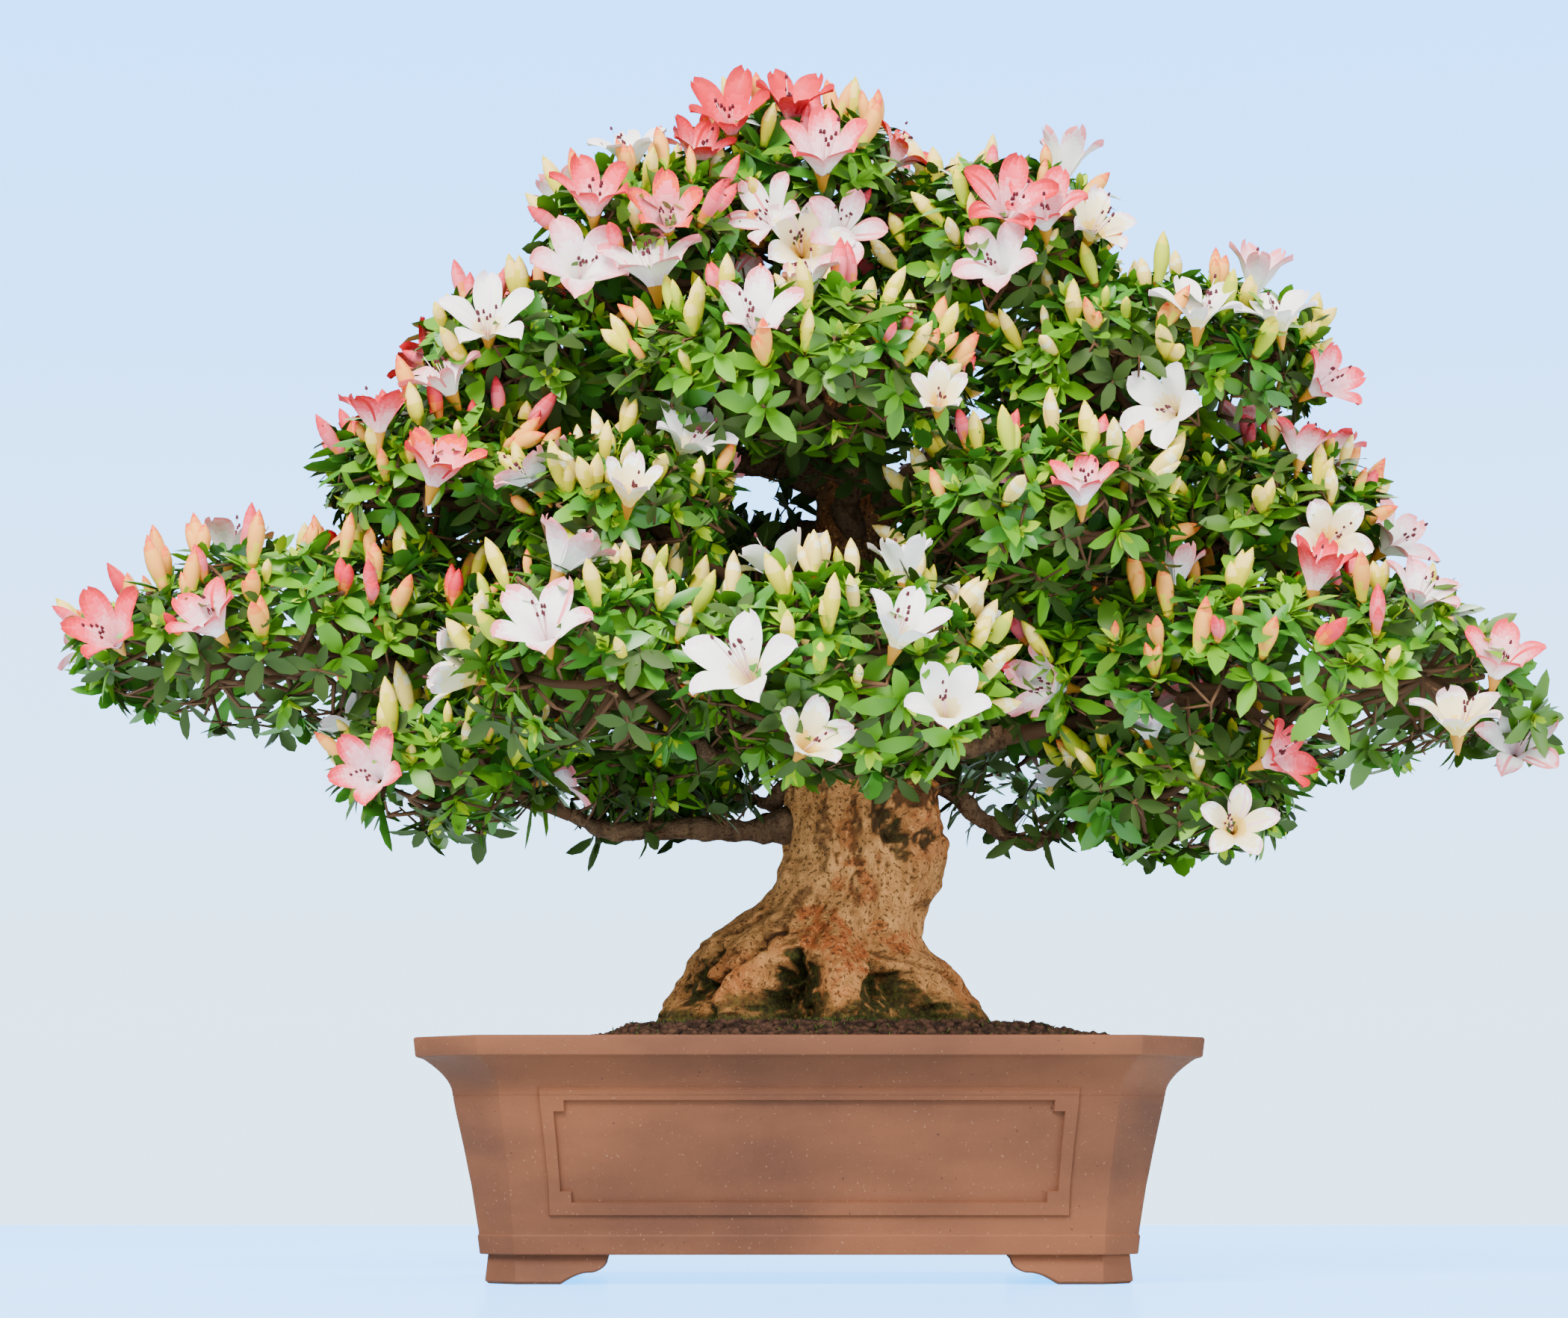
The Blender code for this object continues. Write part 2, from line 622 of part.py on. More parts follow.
def leaf_end(space, root, sideways, length):
    """Where a leaf ends that lies along the space's surface, or nothing if it would leave the space."""
    offset = root + sideways * length - Vector(space.mass.centre)
    aim = Vector([step / size for step, size in zip(offset, space.mass.reach)]).normalized()
    end = space.at(aim, LEAF_END_REACH)
    along = end - root
    across = along.cross(space.outwards(root)).normalized() * along.length * LEAF_WIDTH_SHARE / 2
    middle = (root + end) / 2
    corners = (root, middle + across, end, middle - across)
    edges = [corner.lerp(after, 0.5) for corner, after in zip(corners, corners[1:] + corners[:1])]
    thickness = LEAF_THICKNESS_SHARE * along.length
    if all(space.holds(test, thickness) for test in (*corners[1:], *edges[1:3], middle)):
        return end
    return None


def bloom_fits(space, base, outwards):
    """Whether an open flower's rim stays inside the space, but for a little over its surface."""
    middle, flat = base + outwards * BLOOM_DEPTH, outwards.orthogonal().normalized()
    turns = [Matrix.Rotation(math.pi / 3 * step, 3, outwards) for step in range(6)]
    rim = [turn @ flat * BLOOM_RADIUS + middle for turn in turns]
    return all(space.holds(point, 0.0, BLOOM_OVER_REACH) for point in rim)


def add_whorl(space, tip, direction, order, chance, collection):
    """A ring of leaves at a twig's tip, round an open flower, a bud or nothing."""
    pieces = []
    outwards = space.outwards(tip)
    first = chance.uniform(0, 2 * math.pi)
    flat = outwards.orthogonal().normalized()
    root = tip - direction * LEAF_SUNK
    middle = WHORL_CENTRES[order % len(WHORL_CENTRES)]
    leaves = WHORL_LEAVES - (middle == "bloom")
    for leaf in range(leaves):
        turn = first + 2 * math.pi * leaf / leaves
        sideways = Matrix.Rotation(turn, 3, outwards) @ flat
        length = LEAF_LENGTH * (1 + chance.uniform(-LEAF_LENGTH_CHANGE, LEAF_LENGTH_CHANGE))
        end = leaf_end(space, root, sideways, length)
        if end is not None:
            length = (end - root).length
            width, thickness = length * LEAF_WIDTH_SHARE, length * LEAF_THICKNESS_SHARE
            pieces.append(add_spindle(root, end, outwards, width, thickness, collection))
    bud_end = root + outwards * BUD_LENGTH
    bloom_base = tip - outwards * (BLOOM_DEPTH - BLOOM_RISE)
    if middle == "bloom" and bloom_fits(space, bloom_base, outwards):
        pieces.append(add_bloom(bloom_base, outwards, collection))
    elif middle == "bud" and space.holds(bud_end, 0.0, BLOOM_OVER_REACH):
        width = BUD_LENGTH * BUD_WIDTH_SHARE
        pieces.append(add_spindle(root, bud_end, flat, width, width, collection))
    return pieces


def make_core(space, collection, material):
    """The dense inside of a mass: a ball drawn in wherever its space ends or a limb passes."""
    shape = bmesh.new()
    bmesh.ops.create_icosphere(shape, subdivisions=2, radius=1.0)
    for corner in shape.verts:
        direction = corner.co.normalized()
        reach = CORE_REACH
        while reach > CORE_STEP and not space.holds(space.at(direction, reach + CORE_CLEARANCE)):
            reach -= CORE_STEP
        corner.co = space.at(direction, reach)
    return make_object(f"mass_{space.mass.name}", shape, collection, material)


def tip_count(mass):
    """How many whorls cover a mass's surface at the whorls' spacing."""
    a, b, c = mass.reach
    mean = ((a * b) ** AREA_POWER + (a * c) ** AREA_POWER + (b * c) ** AREA_POWER) / 3
    return round(4 * math.pi * mean ** (1 / AREA_POWER) / TIP_SPACING**2)


def keep_largest_body(thing):
    """Drop loose scraps and the walls of sealed hollows from a fused mesh."""
    shape = bmesh.new()
    shape.from_mesh(thing.data)
    left, largest = set(shape.faces), set()
    while left:
        front = [left.pop()]
        body = set(front)
        while front:
            for edge in front.pop().edges:
                beside = left.intersection(edge.link_faces)
                left -= beside
                body |= beside
                front += beside
        largest = max(largest, body, key=len)
    bmesh.ops.delete(shape, geom=[face for face in shape.faces if face not in largest], context="FACES")
    bmesh.ops.triangulate(shape, faces=shape.faces)
    shape.to_mesh(thing.data)
    shape.free()


def make_mass(mass, limbs, collection, cutters, material):
    """One mass of foliage: twigs from one stem, with leaves, buds and flowers fused to a core."""
    chance = random.Random(f"{SEED} {mass.name}")
    space = Space(mass, limbs)
    core = make_core(space, collection, material)
    entry, heart = entry_point(mass), heart_point(mass)
    inwards = (heart - entry).normalized()
    stem_radius = mass.girth * BOUGH_TIP_SHARE
    stem_foot = entry + inwards * CLEARANCE
    pieces = [add_twig(stem_foot, heart, stem_radius, stem_radius * STEM_TAPER, cutters)]
    tips = tip_count(mass)
    aims = shell_directions(max(FEWEST_SHOOTS, tips // TIPS_PER_SHOOT), chance)
    shoots = [space.at(aim, SHOOT_REACH) for aim in aims]
    shoots = [shoot for shoot in shoots if space.holds(shoot)] + [heart]
    order = 0
    for aim in shell_directions(tips, chance):
        tip = space.at(aim, TIP_REACH)
        shoot = min(shoots, key=lambda near: (near - tip).length)
        along = [shoot.lerp(tip, share) for share in (0.6, 0.8, 1.0)]
        if not all(space.holds(point, TIP_RADIUS) for point in along):
            continue
        pieces.append(add_twig(shoot, tip, SHOOT_RADIUS, TIP_RADIUS, cutters))
        pieces += add_whorl(space, tip, (tip - shoot).normalized(), order, chance, cutters)
        order += 1
    combine(core, pieces, "UNION")
    keep_largest_body(core)
    return core


def main():
    """Build the pot, the root ball, the limbs and the foliage."""
    clear_scene()
    scene = bpy.context.scene.collection
    parts = make_collection("azalea_bonsai", scene)
    cutters = make_collection("cutters", scene)
    cutters.hide_render = True
    clay = make_material("unglazed_clay", (0.19, 0.085, 0.060), 0.62)
    granules = make_material("soil_granules", (0.12, 0.055, 0.035), 0.95)
    bark = make_material("bark", (0.33, 0.19, 0.10), 0.85)
    foliage = make_material("azalea_foliage", (0.09, 0.22, 0.05), 0.45)

    make_pot(parts, cutters, clay)
    for back_or_front, sign_y in (("front", -1), ("back", 1)):
        for left_or_right, sign_x in (("left", -1), ("right", 1)):
            make_foot(f"pot_foot_{back_or_front}_{left_or_right}", sign_x, sign_y, parts, clay)
    make_soil(parts, granules)
    make_trunk(parts, bark)
    limbs = limb_samples()
    for mass in MASSES:
        if mass.fork < TRUNK_STATIONS[-1][0]:
            make_bough(mass, parts, cutters, bark)
    for mass in MASSES:
        make_mass(mass, limbs, parts, cutters, foliage)


if __name__ == "__main__":
    main()
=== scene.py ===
"""The looks of an azalea bonsai in its pot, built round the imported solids.

The pot, root ball, trunk and boughs get fine meshes on the formulas of their solids. Each mass of
foliage is grown again by the rule that its solid grew by, carried on to finer twigs, small leaves,
buds and open flowers. Metres, +Z up, the tree's front towards -Y.
"""

import itertools
import json
import logging
import math
import random
from dataclasses import dataclass, field
from enum import Enum

import bpy
import numpy as np
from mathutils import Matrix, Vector
from mathutils.geometry import interpolate_bezier

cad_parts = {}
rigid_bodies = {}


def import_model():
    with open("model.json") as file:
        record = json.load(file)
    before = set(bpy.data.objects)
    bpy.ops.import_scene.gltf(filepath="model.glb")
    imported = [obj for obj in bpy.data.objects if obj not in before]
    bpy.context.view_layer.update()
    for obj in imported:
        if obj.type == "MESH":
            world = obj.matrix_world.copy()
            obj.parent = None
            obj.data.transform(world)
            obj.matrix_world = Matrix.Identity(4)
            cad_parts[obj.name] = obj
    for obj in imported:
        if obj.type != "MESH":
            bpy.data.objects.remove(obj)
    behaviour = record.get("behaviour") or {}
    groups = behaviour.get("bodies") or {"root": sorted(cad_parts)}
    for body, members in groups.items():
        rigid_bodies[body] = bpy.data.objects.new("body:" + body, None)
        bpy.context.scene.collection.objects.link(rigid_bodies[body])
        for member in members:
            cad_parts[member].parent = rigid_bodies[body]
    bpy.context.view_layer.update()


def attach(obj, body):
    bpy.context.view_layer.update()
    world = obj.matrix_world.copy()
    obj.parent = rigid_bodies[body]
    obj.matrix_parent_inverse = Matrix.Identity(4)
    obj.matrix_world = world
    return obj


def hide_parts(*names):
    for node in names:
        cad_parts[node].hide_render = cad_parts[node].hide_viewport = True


LOG = logging.getLogger("azalea_bonsai")
SEED = 27
MARKS = "marks"  # the attribute that says where bark is dark, mossy and red; its dark is painted shade in creases, hollows and pits, and dark lichen
WORD = 0xFFFFFFFF
LATTICE_PRIMES = (73856093, 19349663, 83492791)
UP = np.array((0.0, 0.0, 1.0))
FRONT = np.array((0.0, -1.0, 0.0))
PHOTO_WIDTH, PHOTO_HEIGHT = 2099, 1764  # pixels
GOLDEN_ANGLE = math.pi * (3 - math.sqrt(5))
FULL_TURN = math.tau

Array = np.ndarray
Chance = np.random.Generator
Socket = bpy.types.NodeSocket
Triple = tuple[float, float, float]  # a colour, a place or a size


def unit(vectors: Array) -> Array:
    """Vectors of length one along the given ones."""
    return vectors / np.linalg.norm(vectors, axis=-1, keepdims=True)


def smooth_step(values: Array, low: float, high: float) -> Array:
    """Nought below low, one above high, and the curve 3t^2 - 2t^3 between them."""
    share = np.clip((values - low) / (high - low), 0.0, 1.0)
    return share * share * (3 - 2 * share)


def bearings_round(count: int) -> Array:
    """So many bearings spaced evenly round a circle."""
    return np.linspace(0, FULL_TURN, count, endpoint=False)


def square_to(axes: Array, turns: Array) -> Array:
    """Unit vectors square to unit axes, turned about them.

    An axis crossed with X where it is steep, and with Z elsewhere, is one side, and crossed with
    that it is the other. The turn mixes the two by its cosine and sine.

    Args:
        axes: Unit vectors.
        turns: An angle in radians for each.

    Returns:
        A unit vector for each.
    """
    steep = np.abs(axes[:, 2:3]) > 0.9
    side = unit(np.cross(axes, np.where(steep, np.array((1.0, 0.0, 0.0)), UP)))
    return side * np.cos(turns)[:, None] + np.cross(axes, side) * np.sin(turns)[:, None]


def circles(side: Array, over: Array, turns: Array) -> Array:
    """Unit circles in the planes of two sides square to each other, by circle and turn."""
    return side[:, None] * np.cos(turns)[:, None] + over[:, None] * np.sin(turns)[:, None]


def frames_along(axes: Array, turns: Array) -> Array:
    """Frames whose third rows are some unit axes, and whose first rows are square to them by turns."""
    side = square_to(axes, turns)
    return np.stack((side, np.cross(axes, side), axes), axis=1)


def lattice_noise(points: Array, cell: float, seed: int) -> Array:
    """Smooth seeded noise from -1 to 1.

    Each corner of a cubic lattice hashes to a value, and a point blends the eight corners of its
    cell by the smooth-step weights of its place between them.

    Args:
        points: Places in metres.
        cell: The lattice's spacing.
        seed: Which of many such noises to give.

    Returns:
        A value for each point.
    """
    scaled = points / cell
    corner = np.floor(scaled).astype(np.int64)
    share = scaled - corner
    share = share * share * (3 - 2 * share)
    total = np.zeros(points.shape[:-1])
    for step in itertools.product((0, 1), repeat=3):
        index = corner + np.array(step)
        key = np.bitwise_xor.reduce(index * LATTICE_PRIMES, axis=-1) ^ seed * 2654435761
        key = ((key & WORD) ^ ((key & WORD) >> 13)) * 1274126177 & WORD
        key = key ^ (key >> 16)
        total += np.where(np.array(step) == 1, share, 1 - share).prod(axis=-1) * (key / 2**31 - 1)
    return total


@dataclass
class Patch:
    """Points and the faces between them, a finish's number for each face; a triangle ends in -1."""

    points: Array
    faces: Array
    tints: Array

    @classmethod
    def grid(cls, points: Array, wrap: bool = True, caps: bool = True) -> "Patch":
        """A surface of quads over rows and columns of points.

        It faces out where the columns run anticlockwise seen from the last row's side, and a cap is
        a fan about the mean of the first or last row.

        Args:
            points: An array of rows, columns and coordinates.
            wrap: Whether the last column joins the first.
            caps: Whether both ends are closed.

        Returns:
            The surface, all in finish 0.
        """
        rows, columns = points.shape[:2]
        number = np.arange(rows * columns).reshape(rows, columns)
        following = np.roll(number, -1, axis=1)
        if not wrap:
            number, following = number[:, :-1], following[:, :-1]
        faces = np.stack((number[:-1], following[:-1], following[1:], number[1:]), axis=-1).reshape(-1, 4)
        flat = points.reshape(-1, 3)
        if caps:
            flat = np.concatenate((flat, points[[0, -1]].mean(axis=1)))
            foot, none = np.full(columns, rows * columns), np.full(columns, -1)
            low = np.stack((foot, following[0], number[0], none), axis=-1)
            high = np.stack((foot + 1, number[-1], following[-1], none), axis=-1)
            faces = np.concatenate((faces, low, high))
        return cls(flat, faces, np.zeros(len(faces), int))

    @classmethod
    def turned(cls, radii: Array, heights: Array, sides: int, twist: float = 0.0) -> "Patch":
        """A closed shape about Z, whose rings are regular polygons.

        Args:
            radii: The rings' radii.
            heights: Their heights.
            sides: How many sides each has.
            twist: How far the last is turned in radians.

        Returns:
            The shape.
        """
        turns = bearings_round(sides) + twist * (heights / heights[-1])[:, None]
        x, y = radii[:, None] * np.cos(turns), radii[:, None] * np.sin(turns)
        return cls.grid(np.stack((x, y, np.broadcast_to(heights[:, None], x.shape)), axis=-1))

    @classmethod
    def join(cls, patches: list["Patch"]) -> "Patch":
        """All the patches as one."""
        starts = np.cumsum([0] + [len(patch.points) for patch in patches[:-1]])
        faces = [np.where(patch.faces < 0, -1, patch.faces + start) for patch, start in zip(patches, starts)]
        points, tints = ([getattr(patch, name) for patch in patches] for name in ("points", "tints"))
        return cls(np.concatenate(points), np.concatenate(faces), np.concatenate(tints))

    def repeat(self, points: Array, tints: Array | None = None) -> "Patch":
        """Copies of this patch's faces over other points.

        Args:
            points: The points of each copy.
            tints: For each copy, the finish that stands in for each of the patch's own.

        Returns:
            All the copies as one patch.
        """
        first = (np.arange(len(points)) * len(self.points))[:, None, None]
        faces = np.where(self.faces < 0, -1, self.faces + first)
        tints = np.tile(self.tints, len(points)) if tints is None else tints[:, self.tints].ravel()
        return Patch(points.reshape(-1, 3), faces.reshape(-1, 4), tints)

    def stamp(self, origins: Array, frames: Array, tints: Array | None = None) -> "Patch":
        """Copies, each point its copy's origin plus its own coordinates times the frame's rows."""
        return self.repeat(origins[:, None, :] + np.einsum("vj,kjd->kvd", self.points, frames), tints)

    def to_object(self, name: str, finishes: list[bpy.types.Material]) -> bpy.types.Object:
        """Make the patch a mesh object at the origin, shaded smooth.

        Args:
            name: The object's name.
            finishes: The materials that the faces' numbers stand for.

        Returns:
            The object.
        """
        mesh = bpy.data.meshes.new(name)
        mesh.vertices.add(len(self.points))
        mesh.vertices.foreach_set("co", self.points.astype(np.float32).ravel())
        corners = self.faces[self.faces >= 0].astype(np.int32)
        mesh.loops.add(len(corners))
        mesh.loops.foreach_set("vertex_index", corners)
        counts = (self.faces >= 0).sum(axis=1)
        mesh.polygons.add(len(counts))
        mesh.polygons.foreach_set("loop_start", (np.cumsum(counts) - counts).astype(np.int32))
        for finish in finishes:
            mesh.materials.append(finish)
        mesh.polygons.foreach_set("material_index", self.tints.astype(np.int32))
        mesh.update(calc_edges=True)
        mesh.shade_smooth()
        return linked(bpy.data.objects.new(name, mesh))

    def to_piece(self, name: str, finishes: list["Finish"], slot: str, *nodes: str) -> bpy.types.Object:
        """Make the patch a finished piece that is tied to the plant's one body.

        Args:
            name: The piece's name.
            finishes: The finishes that the faces' numbers stand for.
            slot: The record's material slot that they belong to; not used.
            nodes: The solids that it stands for.

        Returns:
            The piece.
        """
        thing = self.to_object(name, [finish.material() for finish in finishes])
        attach(thing, "root")
        if nodes:
            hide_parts(*nodes)
        LOG.info("%s: %d faces", name, len(self.faces))
        return thing


def linked(thing: bpy.types.Object) -> bpy.types.Object:
    """The object itself, once it is in the scene."""
    bpy.context.scene.collection.objects.link(thing)
    return thing


class Board:
    """A node tree, with short calls that add nodes and join them."""

    def __init__(self, tree: bpy.types.NodeTree) -> None:
        """Take a material's, a group's or the world's own tree."""
        self.tree = tree

    def give(self, node: bpy.types.Node, inputs: dict) -> bpy.types.Node:
        """Fill a node's inputs.

        Args:
            node: The node.
            inputs: By name or number, a value or another node's output.

        Returns:
            The node.
        """
        for key, value in inputs.items():
            if isinstance(value, Socket):
                self.tree.links.new(value, node.inputs[key])
            else:
                colour = node.inputs[key].type == "RGBA"
                node.inputs[key].default_value = (*value, 1.0) if colour else value
        return node

    def add(self, kind: str, inputs: dict | None = None, **settings: object) -> bpy.types.Node:
        """Add a node.

        Args:
            kind: The node's type in Blender.
            inputs: What its inputs are filled with.
            settings: The node's own properties.

        Returns:
            The node.
        """
        node = self.tree.nodes.new(kind)
        for key, value in settings.items():
            setattr(node, key, value)
        return self.give(node, inputs or {})

    def effect(self, effect: "Effect", *values: object) -> bpy.types.NodeOutputs:
        """Place one of the shared effects with its own values, and give its outputs."""
        return self.add("ShaderNodeGroup", dict(enumerate(values)), node_tree=effect.group()).outputs

    def maths(self, operation: str, *values: object) -> Socket:
        """The outcome of one step of arithmetic."""
        return self.add("ShaderNodeMath", dict(enumerate(values)), operation=operation).outputs[0]

    def mix(self, share: object, first: object, second: object) -> Socket:
        """A colour between two others, by a share or by a mask."""
        return self.add("ShaderNodeMix", {0: share, 6: first, 7: second}, data_type="RGBA").outputs[2]

    def place(self) -> Socket:
        """The piece's own coordinates in metres."""
        return self.add("ShaderNodeTexCoord").outputs["Object"]

    def stretched(self, place: object, shares: Triple) -> Socket:
        """Coordinates times a share along each axis, which draws a pattern out."""
        return self.add("ShaderNodeVectorMath", {0: place, 1: shares}, operation="MULTIPLY").outputs[0]

    def noise(self, place: object, size: object, detail: float) -> Socket:
        """Noise whose features are of a size in metres."""
        inputs = {"Vector": place, "Scale": self.maths("DIVIDE", 1.0, size), "Detail": detail}
        return self.add("ShaderNodeTexNoise", inputs).outputs["Fac"]

    def spread(self, value: object, low: object, high: object) -> Socket:
        """A value brought from between low and high to between 0 and 1, smoothly."""
        settings = {"Value": value, "From Min": low, "From Max": high}
        return self.add("ShaderNodeMapRange", settings, interpolation_type="SMOOTHSTEP").outputs["Result"]

    def bump(self, place: object, fine: float, broad: float, strength: float, depth: float) -> Socket:
        """The normal of a surface with grain of two sizes, so deep."""
        grain = self.effect(Effect.GRAIN, place, fine, broad)[0]
        inputs = {"Strength": strength, "Distance": depth, "Height": grain}
        return self.add("ShaderNodeBump", inputs).outputs[0]


SOCKETS = {"Place": "Vector", "Dark": "Color", "Light": "Color", "Colour": "Color"}  # the others are numbers


class Effect(Enum):
    """The effects that more than one finish uses: each a group's name, its inputs and its outputs."""

    CLOUDS = ("clouded colour", ("Place", "Size", "Dark", "Light"), ("Colour", "Mask"))
    FLECKS = ("scattered flecks", ("Place", "Size", "Threshold"), ("Mask",))
    GRAIN = ("fine grain", ("Place", "Fine size", "Broad size"), ("Height",))

    def group(self) -> bpy.types.NodeTree:
        """The effect's node group, made when first asked for."""
        name, inputs, outputs = self.value
        if name not in bpy.data.node_groups:
            board = Board(bpy.data.node_groups.new(name, "ShaderNodeTree"))
            for way, sockets in (("INPUT", inputs), ("OUTPUT", outputs)):
                for socket in sockets:
                    kind = f"NodeSocket{SOCKETS.get(socket, 'Float')}"
                    board.tree.interface.new_socket(socket, in_out=way, socket_type=kind)
            given = board.add("NodeGroupInput").outputs
            board.add("NodeGroupOutput", self.results(board, *(given[each] for each in inputs)))
        return bpy.data.node_groups[name]

    def results(self, board: Board, place: Socket, *given: Socket) -> dict:
        """What the group gives.

        Clouds mix two colours softly, as fire does in clay and age in bark. Flecks are the spots
        where fine noise passes a threshold. Grain is a fine tooth on broader unevenness.

        Args:
            board: The group's board.
            place: Its coordinates.
            given: Its other inputs.

        Returns:
            A socket for each output.
        """
        if self is Effect.CLOUDS:
            size, dark, light = given
            mask = board.spread(board.noise(place, size, 4.0), 0.34, 0.66)
            return {"Colour": board.mix(mask, dark, light), "Mask": mask}
        if self is Effect.FLECKS:
            size, threshold = given
            top = board.maths("ADD", threshold, 0.06)
            return {"Mask": board.spread(board.noise(place, size, 2.0), threshold, top)}
        fine, broad = (board.noise(place, size, 3.0) for size in given)
        return {"Height": board.maths("MULTIPLY_ADD", broad, 2.0, fine)}


@dataclass(frozen=True)
class Finish:
    """A material of the plant or its pot, whose kind says what its shader is given."""

    name: str

    def material(self) -> bpy.types.Material:
        """The finish as a material, made when first asked for."""
        found = bpy.data.materials.get(self.name)
        if found:
            return found
        material = bpy.data.materials.new(self.name)
        material.use_nodes = True
        board = Board(material.node_tree)
        board.give(material.node_tree.nodes["Principled BSDF"], self.inputs(board))
        return material


@dataclass(frozen=True)
class LivingFinish(Finish):
    """Leaf, petal, bud or stamen: one plain colour with the gloss of its kind."""

    colour: Triple
    roughness: float = 0.55
    shine: float = 0.35  # the strength of its plain reflection

    def inputs(self, board: Board) -> dict:
        """What the shader is given."""
        return {"Base Color": self.colour, "Roughness": self.roughness, "Specular IOR Level": self.shine}


@dataclass(frozen=True)
class ClayFinish(Finish):
    """Unglazed stoneware: reddish brown, smoked in places, with pale specks and a fine tooth."""

    name: str = "unglazed_clay"
    dark: Triple = (0.094, 0.034, 0.018)
    light: Triple = (0.176, 0.062, 0.028)
    smoke: Triple = (0.056, 0.025, 0.016)
    speck: Triple = (0.34, 0.18, 0.11)
    pit: Triple = (0.06, 0.026, 0.017)

    def inputs(self, board: Board) -> dict:
        """What the shader is given: two layers of clouds, then specks and pits over them."""
        place = board.place()
        clouds = board.effect(Effect.CLOUDS, place, 0.11, self.dark, self.light)
        level = board.stretched(place, (0.6, 0.6, 2.2))
        smoke = board.effect(Effect.CLOUDS, level, 0.13, self.smoke, self.light)
        specks = board.maths("MULTIPLY", board.effect(Effect.FLECKS, place, 0.002, 0.68)[0], 0.4)
        colour = board.mix(specks, board.mix(0.45, clouds["Colour"], smoke["Colour"]), self.speck)
        colour = board.mix(board.effect(Effect.FLECKS, place, 0.0034, 0.71)[0], colour, self.pit)
        rough = board.add("ShaderNodeMapRange", {"Value": clouds["Mask"], "To Min": 0.6, "To Max": 0.74})
        normal = board.bump(place, 0.0007, 0.004, 0.35, 0.0003)
        settings = {"Base Color": colour, "Roughness": rough.outputs["Result"], "Normal": normal}
        return settings | {"Specular IOR Level": 0.18}


@dataclass(frozen=True)
class BarkFinish(Finish):
    """Old azalea bark: tan to brown in clouds, and red, mossy or dark where its mesh is marked so, the dark
    being painted shade in creases, hollows and pits and dark lichen on flat patches.
    """

    dark: Triple
    light: Triple
    red: Triple = (0.4, 0.1, 0.026)
    # dark brown for painted shade in creases, hollows and pits, and for dark lichen
    crevice_shade_and_lichen: Triple = (0.06, 0.026, 0.01)
    moss: Triple = (0.014, 0.014, 0.005)
    fresh_moss: Triple = (0.048, 0.054, 0.01)
    grey: Triple = (0.12, 0.07, 0.038)
    grey_from: tuple[float, float] = (0.36, 0.47)  # the heights between which the bark turns grey brown

    def inputs(self, board: Board) -> dict:
        """What the shader is given: clouds and streaks, then the marks' three channels and fine flecks, pale
        ones and dark ones of painted shade in pits.
        """
        place = board.place()
        clouds = board.effect(Effect.CLOUDS, place, 0.028, self.dark, self.light)
        drawn = board.stretched(place, (1.0, 1.0, 0.4))
        streaks = board.effect(Effect.CLOUDS, drawn, 0.006, self.dark, self.light)
        height = board.add("ShaderNodeSeparateXYZ", {0: place}).outputs["Z"]
        # greyer and darker towards the top, between the heights of grey_from
        greying_upwards = board.maths("MULTIPLY", board.spread(height, *self.grey_from), 0.85)
        colour = board.mix(greying_upwards, board.mix(0.5, clouds["Colour"], streaks["Colour"]), self.grey)
        marks = board.add("ShaderNodeAttribute", attribute_name=MARKS).outputs["Color"]
        marks = board.add("ShaderNodeSeparateColor", {0: marks}).outputs
        colour = board.mix(marks["Blue"], colour, self.red)
        # pale flecks, and dark flecks of painted shade in fine pits
        flecks = ((0.0028, 0.58, self.light, 0.5), (0.0026, 0.57, self.crevice_shade_and_lichen, 0.75))
        for size, threshold, tint, strength in flecks:
            spots = board.effect(Effect.FLECKS, place, size, threshold)[0]
            colour = board.mix(board.maths("MULTIPLY", spots, strength), colour, tint)
        moss = board.effect(Effect.CLOUDS, place, 0.0032, self.moss, self.fresh_moss)["Colour"]
        # the marks' red channel lays painted shade and dark lichen, their green one moss
        colour = board.mix(marks["Green"], board.mix(marks["Red"], colour, self.crevice_shade_and_lichen), moss)
        normal = board.bump(place, 0.0012, 0.0045, 1.0, 0.0018)
        return {"Base Color": colour, "Roughness": 0.85, "Specular IOR Level": 0.12, "Normal": normal}


@dataclass(frozen=True)
class GroundFinish(Finish):
    """Granules, moss or litter: two earthy colours in small clouds, quite matt."""

    dark: Triple
    light: Triple
    cloud: float = 0.012

    def inputs(self, board: Board) -> dict:
        """What the shader is given."""
        place = board.place()
        colour = board.effect(Effect.CLOUDS, place, self.cloud, self.dark, self.light)["Colour"]
        normal = board.bump(place, 0.0006, 0.002, 0.8, 0.0005)
        return {"Base Color": colour, "Roughness": 0.92, "Specular IOR Level": 0.1, "Normal": normal}


@dataclass(frozen=True)
class TableFinish(Finish):
    """The pale, glossy table, which gives off light only towards the camera."""

    name: str = "pale_table"

    def inputs(self, board: Board) -> dict:
        """What the shader is given."""
        glow = board.maths("MULTIPLY", board.add("ShaderNodeLightPath").outputs["Is Camera Ray"], 5.0)
        settings = {"Base Color": (0.68, 0.84, 0.95), "Emission Color": (0.0, 0.36, 1.0), "Roughness": 0.14}
        return settings | {"Emission Strength": glow}


TRUNK_BARK = BarkFinish("trunk_bark", (0.32, 0.128, 0.036), (0.74, 0.34, 0.108))
BOUGH_BARK = BarkFinish("bough_bark", (0.06, 0.032, 0.017), (0.19, 0.104, 0.052))
TWIG_BARK = LivingFinish("twig_bark", (0.12, 0.058, 0.028), 0.8, 0.15)


